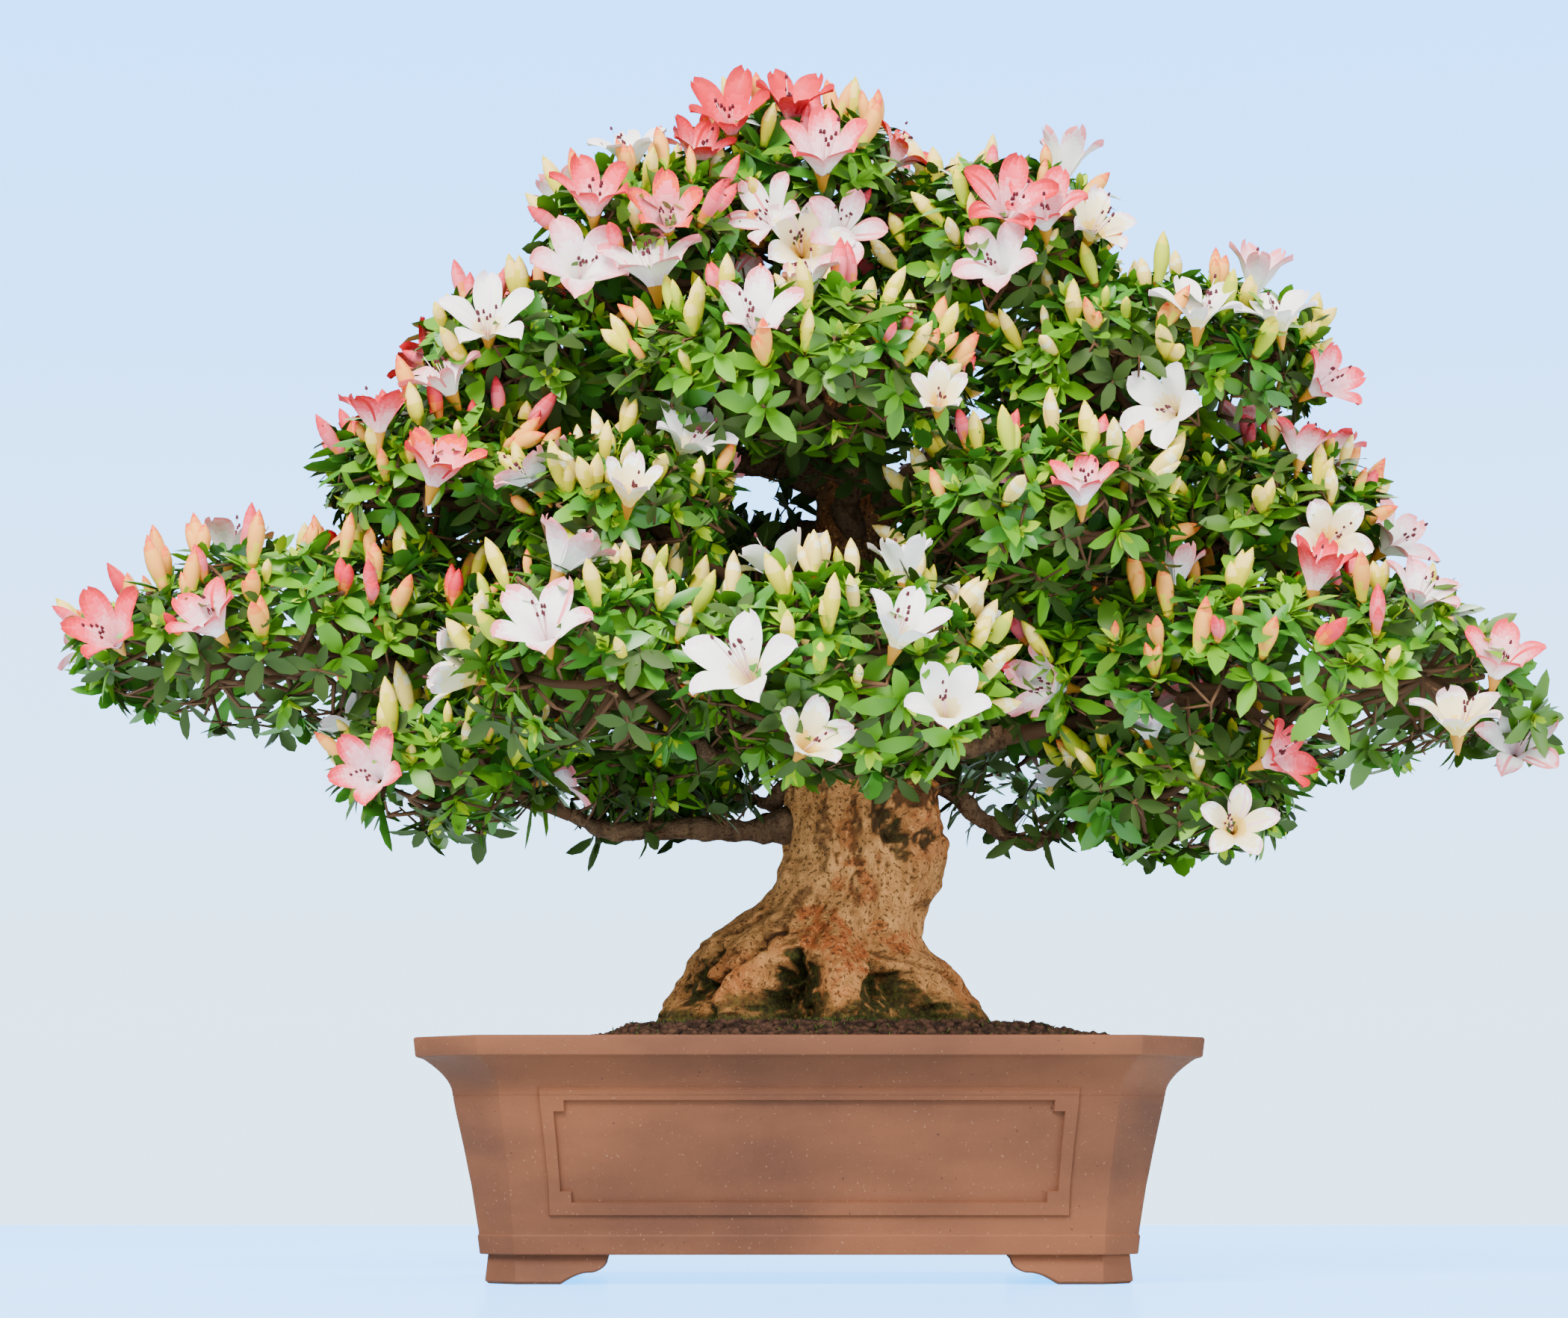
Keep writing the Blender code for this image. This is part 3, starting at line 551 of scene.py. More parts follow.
class LeafTone(Enum):
    """The greens of the leaves, dealt out by whole sprays, as the values of living finishes."""

    # the darkest green, painted shade for the leaves of whorls in the shade inside a mass
    INNER = ("leaf_inner", (0.04, 0.078, 0.012), 0.55, 0.2)
    DEEP = ("leaf_deep", (0.07, 0.164, 0.01), 0.4, 0.35)
    BLUISH = ("leaf_bluish", (0.052, 0.215, 0.016), 0.36, 0.45)
    MIDDLE = ("leaf_middle", (0.104, 0.295, 0.008), 0.4, 0.35)
    FRESH = ("leaf_fresh", (0.17, 0.4, 0.008), 0.44, 0.3)
    YOUNG = ("leaf_young", (0.4, 0.58, 0.012), 0.55, 0.2)


class Tint(Enum):
    """The colours of petals, buds and stamens in the order of their slots, as living finishes' values."""

    WHITE = ("petal_white", (0.96, 0.95, 0.89))
    LILAC = ("petal_lilac_white", (0.95, 0.82, 0.86))
    BLUSH = ("petal_blush", (0.94, 0.6, 0.65))
    PALE = ("petal_pale_pink", (0.94, 0.43, 0.48))
    SHELL = ("petal_shell", (0.93, 0.25, 0.29))
    PINK = ("petal_pink", (0.92, 0.135, 0.185))
    FLUSH = ("petal_flush", (0.86, 0.06, 0.1))
    ROSE = ("petal_rose", (0.78, 0.02, 0.05))
    CORAL = ("petal_coral", (0.68, 0.007, 0.026))
    RED = ("petal_red", (0.56, 0.003, 0.015))
    IVORY = ("petal_ivory", (0.95, 0.82, 0.48))
    CREAM = ("petal_cream", (0.94, 0.68, 0.16))
    YELLOW = ("bud_yellow", (0.74, 0.6, 0.018))
    LIME = ("bud_lime", (0.46, 0.53, 0.011))
    APRICOT = ("bud_apricot", (0.94, 0.38, 0.06))
    PEACH = ("bud_peach", (0.92, 0.21, 0.028))
    SALMON = ("bud_salmon", (0.84, 0.075, 0.02))
    AMBER = ("bud_amber", (0.55, 0.24, 0.016))
    SCALE = ("bud_scale", (0.26, 0.095, 0.016), 0.6)
    FILAMENT = ("filament", (0.9, 0.62, 0.64))
    ANTHER = ("anther", (0.08, 0.006, 0.014), 0.6)


TINTS = [LivingFinish(*tint.value) for tint in Tint]
PINKS = tuple(Tint)[:10]
PETAL_LEVELS = 10  # steps of colour from the throat to the rim
BUD_LEVELS = 9  # and from a bud's foot to its tip


def dealt(family: tuple[Tint, ...], levels: int, lateness: float) -> list[int]:
    """The slots of a run of tints stretched over some levels, its first ones longer if it comes late."""
    shares = (np.arange(levels) / (levels - 1)) ** lateness
    slots = {tint: number for number, tint in enumerate(Tint)}
    return [slots[family[round(share * (len(family) - 1))]] for share in shares]


class BloomPart(Enum):
    """The parts of an open flower that come after its petals' levels."""

    STREAK = PETAL_LEVELS
    FILAMENT = PETAL_LEVELS + 1
    ANTHER = PETAL_LEVELS + 2
    CUP = PETAL_LEVELS + 3


class BloomKind(Enum):
    """How an open flower is coloured: the tints from its throat to its rim, and how late they come."""

    WHITE = ((Tint.IVORY, Tint.WHITE, Tint.WHITE, Tint.WHITE, Tint.LILAC), 1.0)
    CREAM = ((Tint.CREAM, Tint.IVORY, Tint.IVORY, Tint.WHITE, Tint.BLUSH), 1.2)
    BLUSH = (PINKS[:5], 1.5)
    STREAKED = ((Tint.LILAC, Tint.WHITE, Tint.WHITE, Tint.LILAC, Tint.BLUSH, Tint.SHELL), 1.4)
    PINK_RIM = (PINKS[1:8], 1.5)
    CORAL_RIM = (PINKS[2:], 1.1)
    CORAL = (PINKS[4:], 0.6)
    SALMON = ((Tint.BLUSH, Tint.PALE, Tint.SHELL, Tint.PINK, Tint.SALMON, Tint.CORAL), 0.9)

    def tints(self) -> list[int]:
        """The material slot for each of the flower's parts."""
        levels = dealt(self.value[0], PETAL_LEVELS, self.value[1])
        others = dealt((self.value[0][-1], Tint.FILAMENT, Tint.ANTHER, Tint.AMBER), 4, 1.0)
        return levels + others


class BudKind(Enum):
    """How a bud is coloured, from the scales at its foot to its tip."""

    LIME = (Tint.SCALE, Tint.LIME, Tint.LIME, Tint.LIME, Tint.YELLOW)
    YELLOW = (Tint.SCALE, Tint.LIME, Tint.YELLOW, Tint.YELLOW, Tint.CREAM, Tint.YELLOW)
    CREAM = (Tint.AMBER, Tint.YELLOW, Tint.CREAM, Tint.IVORY, Tint.CREAM)
    PEACH = (Tint.SCALE, Tint.AMBER, Tint.YELLOW, Tint.APRICOT, Tint.APRICOT, Tint.PEACH, Tint.SALMON)
    CORAL = (Tint.SCALE, Tint.AMBER, Tint.APRICOT, Tint.PEACH, Tint.PINK, Tint.FLUSH, Tint.ROSE, Tint.CORAL)
    RED = (Tint.SCALE, Tint.AMBER, Tint.PEACH, Tint.SALMON, Tint.ROSE, Tint.CORAL, Tint.RED)

    def tints(self) -> list[int]:
        """The material slot for each of the bud's levels."""
        return dealt(self.value, BUD_LEVELS, 1.0)


class Mood(Enum):
    """Which buds and flowers a mass bears, each with its share."""

    PALE = (
        {BudKind.CREAM: 4, BudKind.YELLOW: 6, BudKind.LIME: 3, BudKind.PEACH: 2},
        {BloomKind.WHITE: 5, BloomKind.CREAM: 2, BloomKind.BLUSH: 3},
    )
    MIXED = (
        {BudKind.CREAM: 3, BudKind.YELLOW: 4, BudKind.PEACH: 5, BudKind.CORAL: 3, BudKind.LIME: 1},
        {BloomKind.BLUSH: 4, BloomKind.STREAKED: 3, BloomKind.PINK_RIM: 3, BloomKind.CREAM: 1},
    )
    WARM = (
        {BudKind.CORAL: 4, BudKind.RED: 2, BudKind.PEACH: 5, BudKind.YELLOW: 3},
        {BloomKind.CORAL_RIM: 4, BloomKind.SALMON: 2, BloomKind.PINK_RIM: 3, BloomKind.BLUSH: 2},
    )


@dataclass(frozen=True)
class Mass:
    """One mass of foliage and the bough that carries it."""

    name: str
    centre: Triple
    reach: Triple
    fork: float  # height at which its bough leaves the trunk
    girth: float  # the bough's radius there
    mood: Mood = Mood.MIXED


MASSES = (
    Mass("crown_top", (-0.008, 0.005, 0.733), (0.098, 0.118, 0.084), 0.655, 0.013, Mood.WARM),
    Mass("crown_left", (-0.108, -0.05, 0.687), (0.084, 0.106, 0.079), 0.59, 0.008),
    Mass("crown_right", (0.13, -0.03, 0.693), (0.093, 0.108, 0.075), 0.6, 0.008),
    Mass("crown_back", (0.006, 0.131, 0.65), (0.125, 0.107, 0.082), 0.575, 0.008),
    Mass("left_upper", (-0.19, -0.02, 0.617), (0.088, 0.11, 0.064), 0.548, 0.009, Mood.WARM),
    Mass("right_upper", (0.234, -0.04, 0.616), (0.134, 0.108, 0.067), 0.524, 0.01, Mood.PALE),
    Mass("front_upper", (-0.011, -0.14, 0.59), (0.134, 0.088, 0.06), 0.505, 0.008),
    Mass("back_left_upper", (-0.156, 0.126, 0.56), (0.112, 0.112, 0.072), 0.508, 0.009, Mood.PALE),
    Mass("back_right_upper", (0.182, 0.131, 0.548), (0.112, 0.114, 0.07), 0.48, 0.009),
    Mass("left_middle", (-0.242, -0.03, 0.534), (0.101, 0.12, 0.064), 0.47, 0.011, Mood.WARM),
    Mass("right_middle", (0.309, 0.0, 0.511), (0.101, 0.12, 0.065), 0.448, 0.011),
    Mass("front_left_middle", (-0.121, -0.13, 0.5), (0.088, 0.094, 0.054), 0.44, 0.008, Mood.PALE),
    Mass("front_right_middle", (0.152, -0.12, 0.495), (0.106, 0.098, 0.064), 0.418, 0.009),
    Mass("left_lower", (-0.344, -0.035, 0.426), (0.176, 0.12, 0.068), 0.396, 0.012, Mood.WARM),
    Mass("right_lower", (0.325, -0.06, 0.4), (0.216, 0.124, 0.068), 0.362, 0.012, Mood.WARM),
    Mass("front_left_lower", (-0.136, -0.186, 0.392), (0.096, 0.102, 0.072), 0.372, 0.009, Mood.PALE),
    Mass("front_lower", (0.02, -0.204, 0.38), (0.112, 0.093, 0.076), 0.362, 0.009, Mood.PALE),
    Mass("back_left_lower", (-0.205, 0.153, 0.426), (0.152, 0.138, 0.076), 0.388, 0.011),
    Mass("back_middle", (0.0, 0.2, 0.424), (0.112, 0.094, 0.072), 0.366, 0.009, Mood.PALE),
    Mass("back_right_lower", (0.205, 0.162, 0.408), (0.152, 0.13, 0.076), 0.35, 0.011, Mood.WARM),
    Mass("left_lowest", (-0.238, -0.06, 0.337), (0.088, 0.1, 0.051), 0.308, 0.009, Mood.PALE),
    Mass("left_inner", (-0.105, 0.01, 0.338), (0.079, 0.078, 0.028), 0.34, 0.006, Mood.PALE),
    Mass("right_lowest", (0.25, -0.03, 0.326), (0.094, 0.102, 0.052), 0.356, 0.008, Mood.PALE),
)


@dataclass
class Pot:
    """The clay pot: a rectangle with cut corners that steps in below its rim, a panel on each side."""

    rim_half_length: float = 0.253
    rim_half_depth: float = 0.1825
    rim_corner_cut: float = 0.0435
    cut_per_inset: float = 0.48  # how much a corner's cut shortens as the wall steps in
    height: float = 0.156
    band_height: float = 0.0135
    cove_height: float = 0.0235
    panel: tuple = (0.0432, 0.122)  # the heights of its foot and top
    panel_field: tuple = (0.0515, 0.1153)  # the same of the sunk field inside its raised border
    margins: tuple = (0.0487, 0.058)  # from the wall's end to the panel's, at its foot and top
    field_margins: tuple = (0.0563, 0.0667)  # the same to the field
    notch: float = 0.007  # the square step in each corner of the field
    proud: float = 0.0018
    sunk: float = 0.001  # how far the field lies behind the wall
    edge: float = 0.0004  # half the width of a relief's slope
    unevenness: float = 0.00018
    corner_ease: float = 0.0016
    row_spacing: float = 0.003
    column_spacing: float = 0.0052

    def profile(self) -> Array:
        """Inset and height up the outside, over the rim and down the inside to the floor.

        The plinth is nearly upright, the wall leans out above it, the cove under the rim follows a
        power of its height, and quarter circles ease the rim's band.
        """
        band = self.height - self.band_height
        cove = band - self.cove_height
        share, turn = np.linspace(0, 1, 11), np.linspace(0, math.pi / 2, 5)
        foot, top = self.panel_field
        levels = np.array((self.panel[0], foot, foot + self.notch, top - self.notch, top, self.panel[1]))
        beside = (levels[:, None] + np.array((-self.edge, self.edge))).ravel()
        rows = np.unique(np.concatenate((np.arange(0.0322, cove, self.row_spacing), beside)))
        parts = (
            [(0.0428, 0.0186), (0.0422, 0.0192), (0.0409, 0.029), (0.0408, 0.0302), (0.0414, 0.0312)],
            np.stack((np.interp(rows, (0.0312, 0.063, cove), (0.0416, 0.0365, 0.0243)), rows), axis=1),
            np.stack((0.0243 - 0.0191 * share**1.9, cove + self.cove_height * share), axis=1),
            np.stack((0.0038 - 0.0026 * np.sin(turn), band + 0.0002 + 0.0017 * (1 - np.cos(turn))), axis=1),
            np.stack((0.0018 * (1 - np.cos(turn)), self.height - 0.0018 + 0.0018 * np.sin(turn)), axis=1),
            [(0.0072, self.height), (0.0125, self.height), (0.015, self.height - 0.0012)],
            [(0.018, 0.1495), (0.034, 0.125), (0.044, 0.07), (0.05, 0.034)],
        )
        return np.concatenate(parts)

    def relief(self, across: Array, heights: Array, border: Array, side: Array) -> Array:
        """How far the wall stands out: proud on the panel's border, and behind itself on its field.

        The border lies round the field, whose four corners are stepped in by a square notch.

        Args:
            across: Distances from the wall's middle line.
            heights: Heights of the same points.
            border: How far the panel reaches from that line at each height.
            side: How far its field does.

        Returns:
            The relief at each point.
        """
        away, (foot, top) = np.abs(across), self.panel_field
        panel = (away < border) & (heights > self.panel[0]) & (heights < self.panel[1])
        notched = (away > side - self.notch) & ((heights < foot + self.notch) | (heights > top - self.notch))
        sunk = (away < side) & (heights > foot) & (heights < top) & ~notched
        return self.proud * (panel & ~sunk) - self.sunk * sunk

    def side_columns(self, flat: Array, border: Array, side: Array) -> Array:
        """Where the columns of one wall stand at each height, from one end of it to the other.

        A pair follows each upright edge of the relief, one on each side of it, and the stretches
        between are shared out evenly.

        Args:
            flat: How far the wall reaches from its middle line at each height.
            border: How far the panel does.
            side: How far its field does.

        Returns:
            An array of heights by columns.
        """
        pairs = [edge + np.array((-self.edge, self.edge)) for edge in (side - self.notch, side, border)]
        count = max(2, round(float(side.mean()) / self.column_spacing))
        inner = np.linspace(0, 1, count, endpoint=False) * (side - self.notch - self.edge)
        outer = np.linspace(0, 1, 5)[1:-1] * (flat - border - self.edge) + border + self.edge
        corner = flat - np.array((1, 0.3)) * self.corner_ease
        half = np.concatenate((inner, *pairs, outer, corner), axis=1)
        return np.concatenate((-half[:, :0:-1], half), axis=1)

    def surface(self) -> Array:
        """The pot's outline at each station of its profile, by station and column.

        A wall's point is its column's place across and the wall's distance plus the relief out, and
        the four walls follow each other with the cut corners' points between them.
        """
        insets, heights = self.profile().T[..., None]
        cuts = self.rim_corner_cut - self.cut_per_inset * insets
        outside = np.arange(len(heights))[:, None] < np.argmax(heights)
        corner = np.concatenate(((0.05,), np.linspace(0, 1, 9)[1:-1], (0.95,)))
        length, depth = self.rim_half_length - insets, self.rim_half_depth - insets
        walls = []
        for side, (ends, distance) in enumerate(((length, depth), (depth, length)) * 2):
            margins = (self.margins, self.field_margins)
            edges = [ends - np.interp(heights, self.panel, each) for each in margins]
            across = self.side_columns(ends - cuts, *edges)
            out = distance + self.relief(across, heights, *edges) * outside
            across = np.concatenate((across, ends - cuts + cuts * corner), axis=1)
            out = np.concatenate((out, distance - cuts * corner), axis=1)
            turn = side * math.pi / 2
            x = across * math.cos(turn) + out * math.sin(turn)
            y = across * math.sin(turn) - out * math.cos(turn)
            walls.append(np.stack((x, y, np.broadcast_to(heights, x.shape)), axis=-1))
        points = np.concatenate(walls, axis=1)
        uneven = lattice_noise(points, 0.022, SEED) + 0.5 * lattice_noise(points, 0.009, SEED + 1)
        outwards = unit(points * np.array((1.0, 1.0, 0.0)))
        return points + outwards * (uneven * self.unevenness * outside)[..., None]

    def build(self) -> None:
        """Make the pot's mesh and finish it."""
        thing = Patch.grid(self.surface()).to_piece("clay_pot", [ClayFinish()], "clay", "pot")
        thing.data.set_sharp_from_angle(angle=math.radians(28))


@dataclass
class PotFeet:
    """Four corner brackets under the plinth, each arm rising in a hollow and then a rounded nose."""

    half_length: float = 0.2055
    half_depth: float = 0.135
    height: float = 0.0187
    corner_cut: float = 0.019
    thickness: float = 0.024
    flare: float = 0.002
    flat: float = 0.0476
    cusp: float = 0.0661
    cusp_height: float = 0.0072
    arm: float = 0.0775
    back_arm_share: float = 0.845  # of a front foot's arm along the pot
    stations: int = 24
    # the section round an arm: shares of the thickness inwards and of the height
    section: tuple = ((0, 1), (0, 0.5), (0, 0.1), (0.1, 0), (0.5, 0), (0.9, 0), (1, 0.1), (1, 1), (0.5, 1))

    def sole(self, along: Array) -> Array:
        """The height of a foot's underside at distances from its outer corner.

        It is flat to begin with, rises by a quarter sine to the cusp, and then by a quarter circle.
        """
        hollow = np.clip((along - self.flat) / (self.cusp - self.flat), 0, 1)
        nose = np.clip((along - self.cusp) / (self.arm - self.cusp), 0, 1)
        rise = (self.height - 0.001 - self.cusp_height) * (1 - np.sqrt(1 - nose**2))
        return self.cusp_height * np.sin(hollow * math.pi / 2) + rise

    def foot(self, sign_x: int, sign_y: int) -> Patch:
        """One foot: the section carried along an arm, round the cut corner and along the other.

        Args:
            sign_x: Which side of the pot.
            sign_y: Its front or its back.

        Returns:
            The foot's closed surface.
        """
        arms = self.arm - (self.arm - self.flat) * np.linspace(0, 1, self.stations)
        inward, upright = np.array(self.section, float).T
        back = inward * self.thickness
        corner = back + (self.corner_cut - back * (2 - math.sqrt(2)))
        along = np.concatenate((np.broadcast_to(arms[:, None], (len(arms), len(inward))), corner[None]))
        sole = self.sole(np.append(arms, self.flat - 0.01))[:, None]
        z = sole + (self.height - sole) * upright
        near = back - self.flare * (1 - z / self.height) * (1 - inward)
        shorter = np.append(np.full(len(arms), self.back_arm_share if sign_y > 0 else 1.0), 1.0)[:, None]
        first = np.stack((along * shorter, near, z), axis=-1)
        path = np.concatenate((first, np.stack((near, along, z), axis=-1)[::-1]))
        x, y = sign_x * (self.half_length - path[..., 0]), sign_y * (self.half_depth - path[..., 1])
        points = np.stack((x, y, path[..., 2]), axis=-1)
        return Patch.grid(points if sign_x * sign_y > 0 else points[:, ::-1])

    def build(self) -> None:
        """Make the four feet, each in place of its own solid."""
        for depth, side in itertools.product(("front", "back"), ("left", "right")):
            name = f"foot_{depth}_{side}"
            foot = self.foot(1 if side == "right" else -1, 1 if depth == "back" else -1)
            thing = foot.to_piece(f"clay_{name}", [ClayFinish()], "clay", f"pot_{name}")
            thing.data.set_sharp_from_angle(angle=math.radians(35))


@dataclass
class TrunkLine:
    """The trunk's measured line, its roots' ridges and its burl, as its solid has them."""

    stations: tuple = (  # height, sideways centre and half width
        (0.1663, 0.0095, 0.12), (0.174, 0.0136, 0.1147), (0.19, 0.0067, 0.1005), (0.205, 0.009, 0.095),
        (0.22, 0.0008, 0.079), (0.236, 0.0095, 0.068), (0.254, 0.0272, 0.0568), (0.285, 0.0395, 0.0575),
        (0.327, 0.038, 0.054), (0.4, 0.034, 0.04), (0.47, 0.033, 0.03), (0.553, 0.032, 0.026),
        (0.61, 0.02, 0.02), (0.655, -0.005, 0.013),
    )
    depth_ratio: float = 0.88
    tip_y: float = 0.005
    root_bearings: tuple = (4, 50, 96, 140, 178, 207, 235, 279, 322)
    root_spread: float = 17.0
    groove_at_ground: float = 0.3
    groove_above: float = 0.06
    groove_fade: float = 0.045
    burl_bearing: float = 305.0
    burl_height: float = 0.312
    burl_size: tuple = (24.0, 0.022, 0.009)

    @property
    def foot(self) -> float:
        """The height of the flat cut on the soil."""
        return self.stations[0][0]

    @property
    def tip(self) -> float:
        """The height at which the trunk ends."""
        return self.stations[-1][0]

    def centre(self, heights: Array) -> Array:
        """The middle of the trunk at each height, straight from station to station."""
        levels, centres, _ = zip(*self.stations)
        lean = (heights - self.foot) / (self.tip - self.foot)
        return np.stack((np.interp(heights, levels, centres), self.tip_y * lean, heights), axis=-1)

    def centre_point(self, height: float) -> Vector:
        """The middle of the trunk at one height."""
        return Vector(self.centre(np.array(height)))

    def radius(self, bearings: Array, heights: Array) -> Array:
        """The measured half width, less grooves between the roots, plus the burl.

        A bell curve about each root's bearing leaves the grooves deepest half way between two, and
        they fade up the trunk. The burl is a bell curve about its own bearing and height.

        Args:
            bearings: Degrees anticlockwise from +X.
            heights: Heights of the same points.

        Returns:
            The radius at each.
        """
        levels, _, widths = zip(*self.stations)
        turns = (bearings[..., None] - np.array(self.root_bearings, float) + 180) % 360 - 180
        ridge = np.exp(-((turns / self.root_spread) ** 2)).max(axis=-1)
        fade = np.exp(-(heights - self.foot) / self.groove_fade)
        groove = self.groove_above + (self.groove_at_ground - self.groove_above) * fade
        burl_turn = (bearings - self.burl_bearing + 180) % 360 - 180
        wide, tall, proud = self.burl_size
        burl = proud * np.exp(-((burl_turn / wide) ** 2) - ((heights - self.burl_height) / tall) ** 2)
        return np.interp(heights, levels, widths) * (1 - groove * (1 - ridge)) + burl


@dataclass(frozen=True)
class Mark:
    """A crease, hollow, knob or patch on the trunk's front, along a line sideways and up."""

    start: tuple[float, float]
    end: tuple[float, float]
    width: float
    depth: float = 0.0  # less than nought for a knob
    # painted shade where the mark is a crease or hollow, the dark of lichen where it is a flat patch or knob
    dark: float = 0.0
    moss: float = 0.0
    red: float = 0.0

    def nearness(self, points: Array) -> Array:
        """How much of the mark each point has.

        Seen from the front it is one on the mark's line and dies away by a flat-topped bell curve
        about its width from it, after noise has shifted the points by most of that width.
        """
        shift = [lattice_noise(points, 0.8 * self.width + 0.004, SEED + 60 + axis) for axis in (0, 1)]
        flat = points[..., ::2] + 0.8 * self.width * np.stack(shift, axis=-1)
        along = np.subtract(self.end, self.start)
        share = np.clip((flat - self.start) @ along / (along @ along), 0, 1)
        away = np.linalg.norm(flat - self.start - share[..., None] * along, axis=-1)
        return np.exp(-((away / self.width) ** 4))


def bark_relief(points: Array, lumps: tuple, stretch: float, pit: float) -> tuple[Array, Array]:
    """The bark's height: smooth noises drawn out upwards, less a pit where one more noise is high.

    Args:
        points: Places on the limb.
        lumps: The noises' cells and heights.
        stretch: How many times longer than wide the finest of them are.
        pit: The pits' depth.

    Returns:
        The height, and the painted shade of its pits.
    """
    height = np.zeros(points.shape[:-1])
    for number, (cell, high) in enumerate(lumps):
        drawn = points * np.array((1.0, 1.0, 1 / (1 + (stretch - 1) * number / len(lumps))))
        height += high * lattice_noise(drawn, cell, SEED + 10 + number)
    pits = smooth_step(lattice_noise(points * np.array((1.0, 1.0, 0.7)), 0.005, SEED + 20), 0.34, 0.7)
    return height - pit * pits, pits


def set_marks(thing: bpy.types.Object, *marks: Array) -> None:
    """Write how dark (painted shade in creases, hollows and pits, and dark lichen), mossy and red each of a
    limb's points is, with nought on its ends' middles.
    """
    values = np.stack([np.clip(each, 0, 1).ravel() for each in (*marks, np.ones_like(marks[0]))], axis=1)
    values = np.concatenate((values, np.zeros((len(thing.data.vertices) - len(values), 4))))
    layer = thing.data.attributes.new(MARKS, "FLOAT_COLOR", "POINT")
    layer.data.foreach_set("color", values.astype(np.float32).ravel())


@dataclass
class Trunk:
    """The trunk as one surface with the bark's relief."""

    line: TrunkLine
    rows: int = 290
    columns: int = 340
    crowding: float = 1.45
    smoothing: float = 0.007
    lumps: tuple = ((0.034, 0.0034), (0.014, 0.0024), (0.0068, 0.0017), (0.0042, 0.0011), (0.003, 0.0007))
    full_relief: float = 0.045  # the radius from which the relief is at its full height
    stretch: float = 3.2
    pit_depth: float = 0.0016
    marks: tuple = (
        Mark((-0.016, 0.219), (-0.055, 0.178), 0.009, -0.012, red=0.35),
        Mark((0.01, 0.21), (0.018, 0.182), 0.015, -0.005, red=0.5),
        Mark((0.09, 0.205), (0.105, 0.18), 0.015, -0.005),
        Mark((-0.005, 0.211), (-0.034, 0.174), 0.005, 0.01, 0.8, 1.0),
        Mark((-0.004, 0.203), (-0.001, 0.17), 0.0095, 0.014, 0.8, 1.0),
        Mark((-0.022, 0.182), (-0.014, 0.168), 0.013, 0.013, 0.8, 1.0),
        Mark((-0.018, 0.2275), (-0.063, 0.1915), 0.0034, 0.008, 1.0),
        Mark((-0.01, 0.196), (-0.022, 0.172), 0.009, 0.012, 0.8, 1.0),
        Mark((0.05, 0.196), (0.053, 0.172), 0.0085, 0.012, 0.8, 1.0),
        Mark((-0.0608, 0.2192), (-0.0737, 0.2037), 0.0044, 0.008, 1.0, 0.5),
        Mark((-0.0737, 0.2037), (-0.08, 0.183), 0.007, 0.011, 1.0, 0.9),
        Mark((-0.07, 0.188), (-0.064, 0.169), 0.007, 0.01, 1.0, 0.8),
        Mark((-0.066, 0.196), (-0.096, 0.18), 0.0024, 0.0045, 0.8),
        Mark((-0.03, 0.242), (-0.06, 0.226), 0.0018, 0.003, 0.6),
        Mark((0.0456, 0.1975), (0.036, 0.17), 0.008, 0.013, 0.8, 0.9),
        Mark((0.058, 0.193), (0.083, 0.17), 0.0085, 0.013, 0.8, 0.9),
        Mark((0.043, 0.2153), (0.0975, 0.1985), 0.002, 0.005, 0.7),
        Mark((0.044, 0.334), (0.05, 0.3), 0.0075, 0.004, 1.0, 0.1),
        Mark((0.052, 0.308), (0.058, 0.296), 0.006, 0.006, 1.0, 0.4),
        Mark((0.056, 0.29), (0.083, 0.296), 0.006, 0.0045, 1.0, 0.2),
        Mark((0.064, 0.289), (0.065, 0.282), 0.006, 0.002, 0.8, 0.4),
        Mark((0.07, 0.3087), (0.073, 0.312), 0.008, -0.007, red=0.9),
        Mark((0.057, 0.326), (0.076, 0.324), 0.011, dark=0.9),
        Mark((0.01, 0.33), (0.01, 0.27), 0.0045, 0.0012, 0.7),
        Mark((0.03, 0.32), (0.033, 0.25), 0.0035, 0.0014, 0.7),
        Mark((0.0, 0.255), (-0.03, 0.22), 0.005, 0.0012, 0.7),
        Mark((0.054, 0.325), (0.08, 0.326), 0.006, -0.004, 0.3),
        Mark((0.079, 0.25), (0.08, 0.244), 0.0036, -0.0045, 0.8),
        Mark((0.005, 0.232), (0.028, 0.21), 0.015, red=1.0),
        Mark((0.028, 0.268), (0.04, 0.256), 0.011, red=0.8),
        Mark((0.05, 0.23), (0.064, 0.218), 0.011, red=0.9),
        Mark((0.025, 0.308), (0.03, 0.288), 0.009, red=0.6),
    )
    foot_moss: tuple = (0.172, 0.188)  # moss all round below the first height, none above the second

    def smoothed(self, heights: Array) -> tuple[Array, Array]:
        """The trunk's line with its corners rounded by a bell-shaped window of heights.

        Args:
            heights: Heights of the rows.

        Returns:
            The trunk's middle at each, and the factor for its half width.
        """
        offsets = np.linspace(-2, 2, 9) * self.smoothing
        weights = np.exp(-((offsets / self.smoothing) ** 2))
        weights /= weights.sum()
        around = np.clip(heights[:, None] + offsets, self.line.foot, self.line.tip)
        centres = (self.line.centre(around) * weights[None, :, None]).sum(axis=1)
        centres[:, 2] = heights
        levels, _, widths = zip(*self.line.stations)
        half = (np.interp(around, levels, widths) * weights).sum(axis=1)
        return centres, half / np.interp(heights, levels, widths)

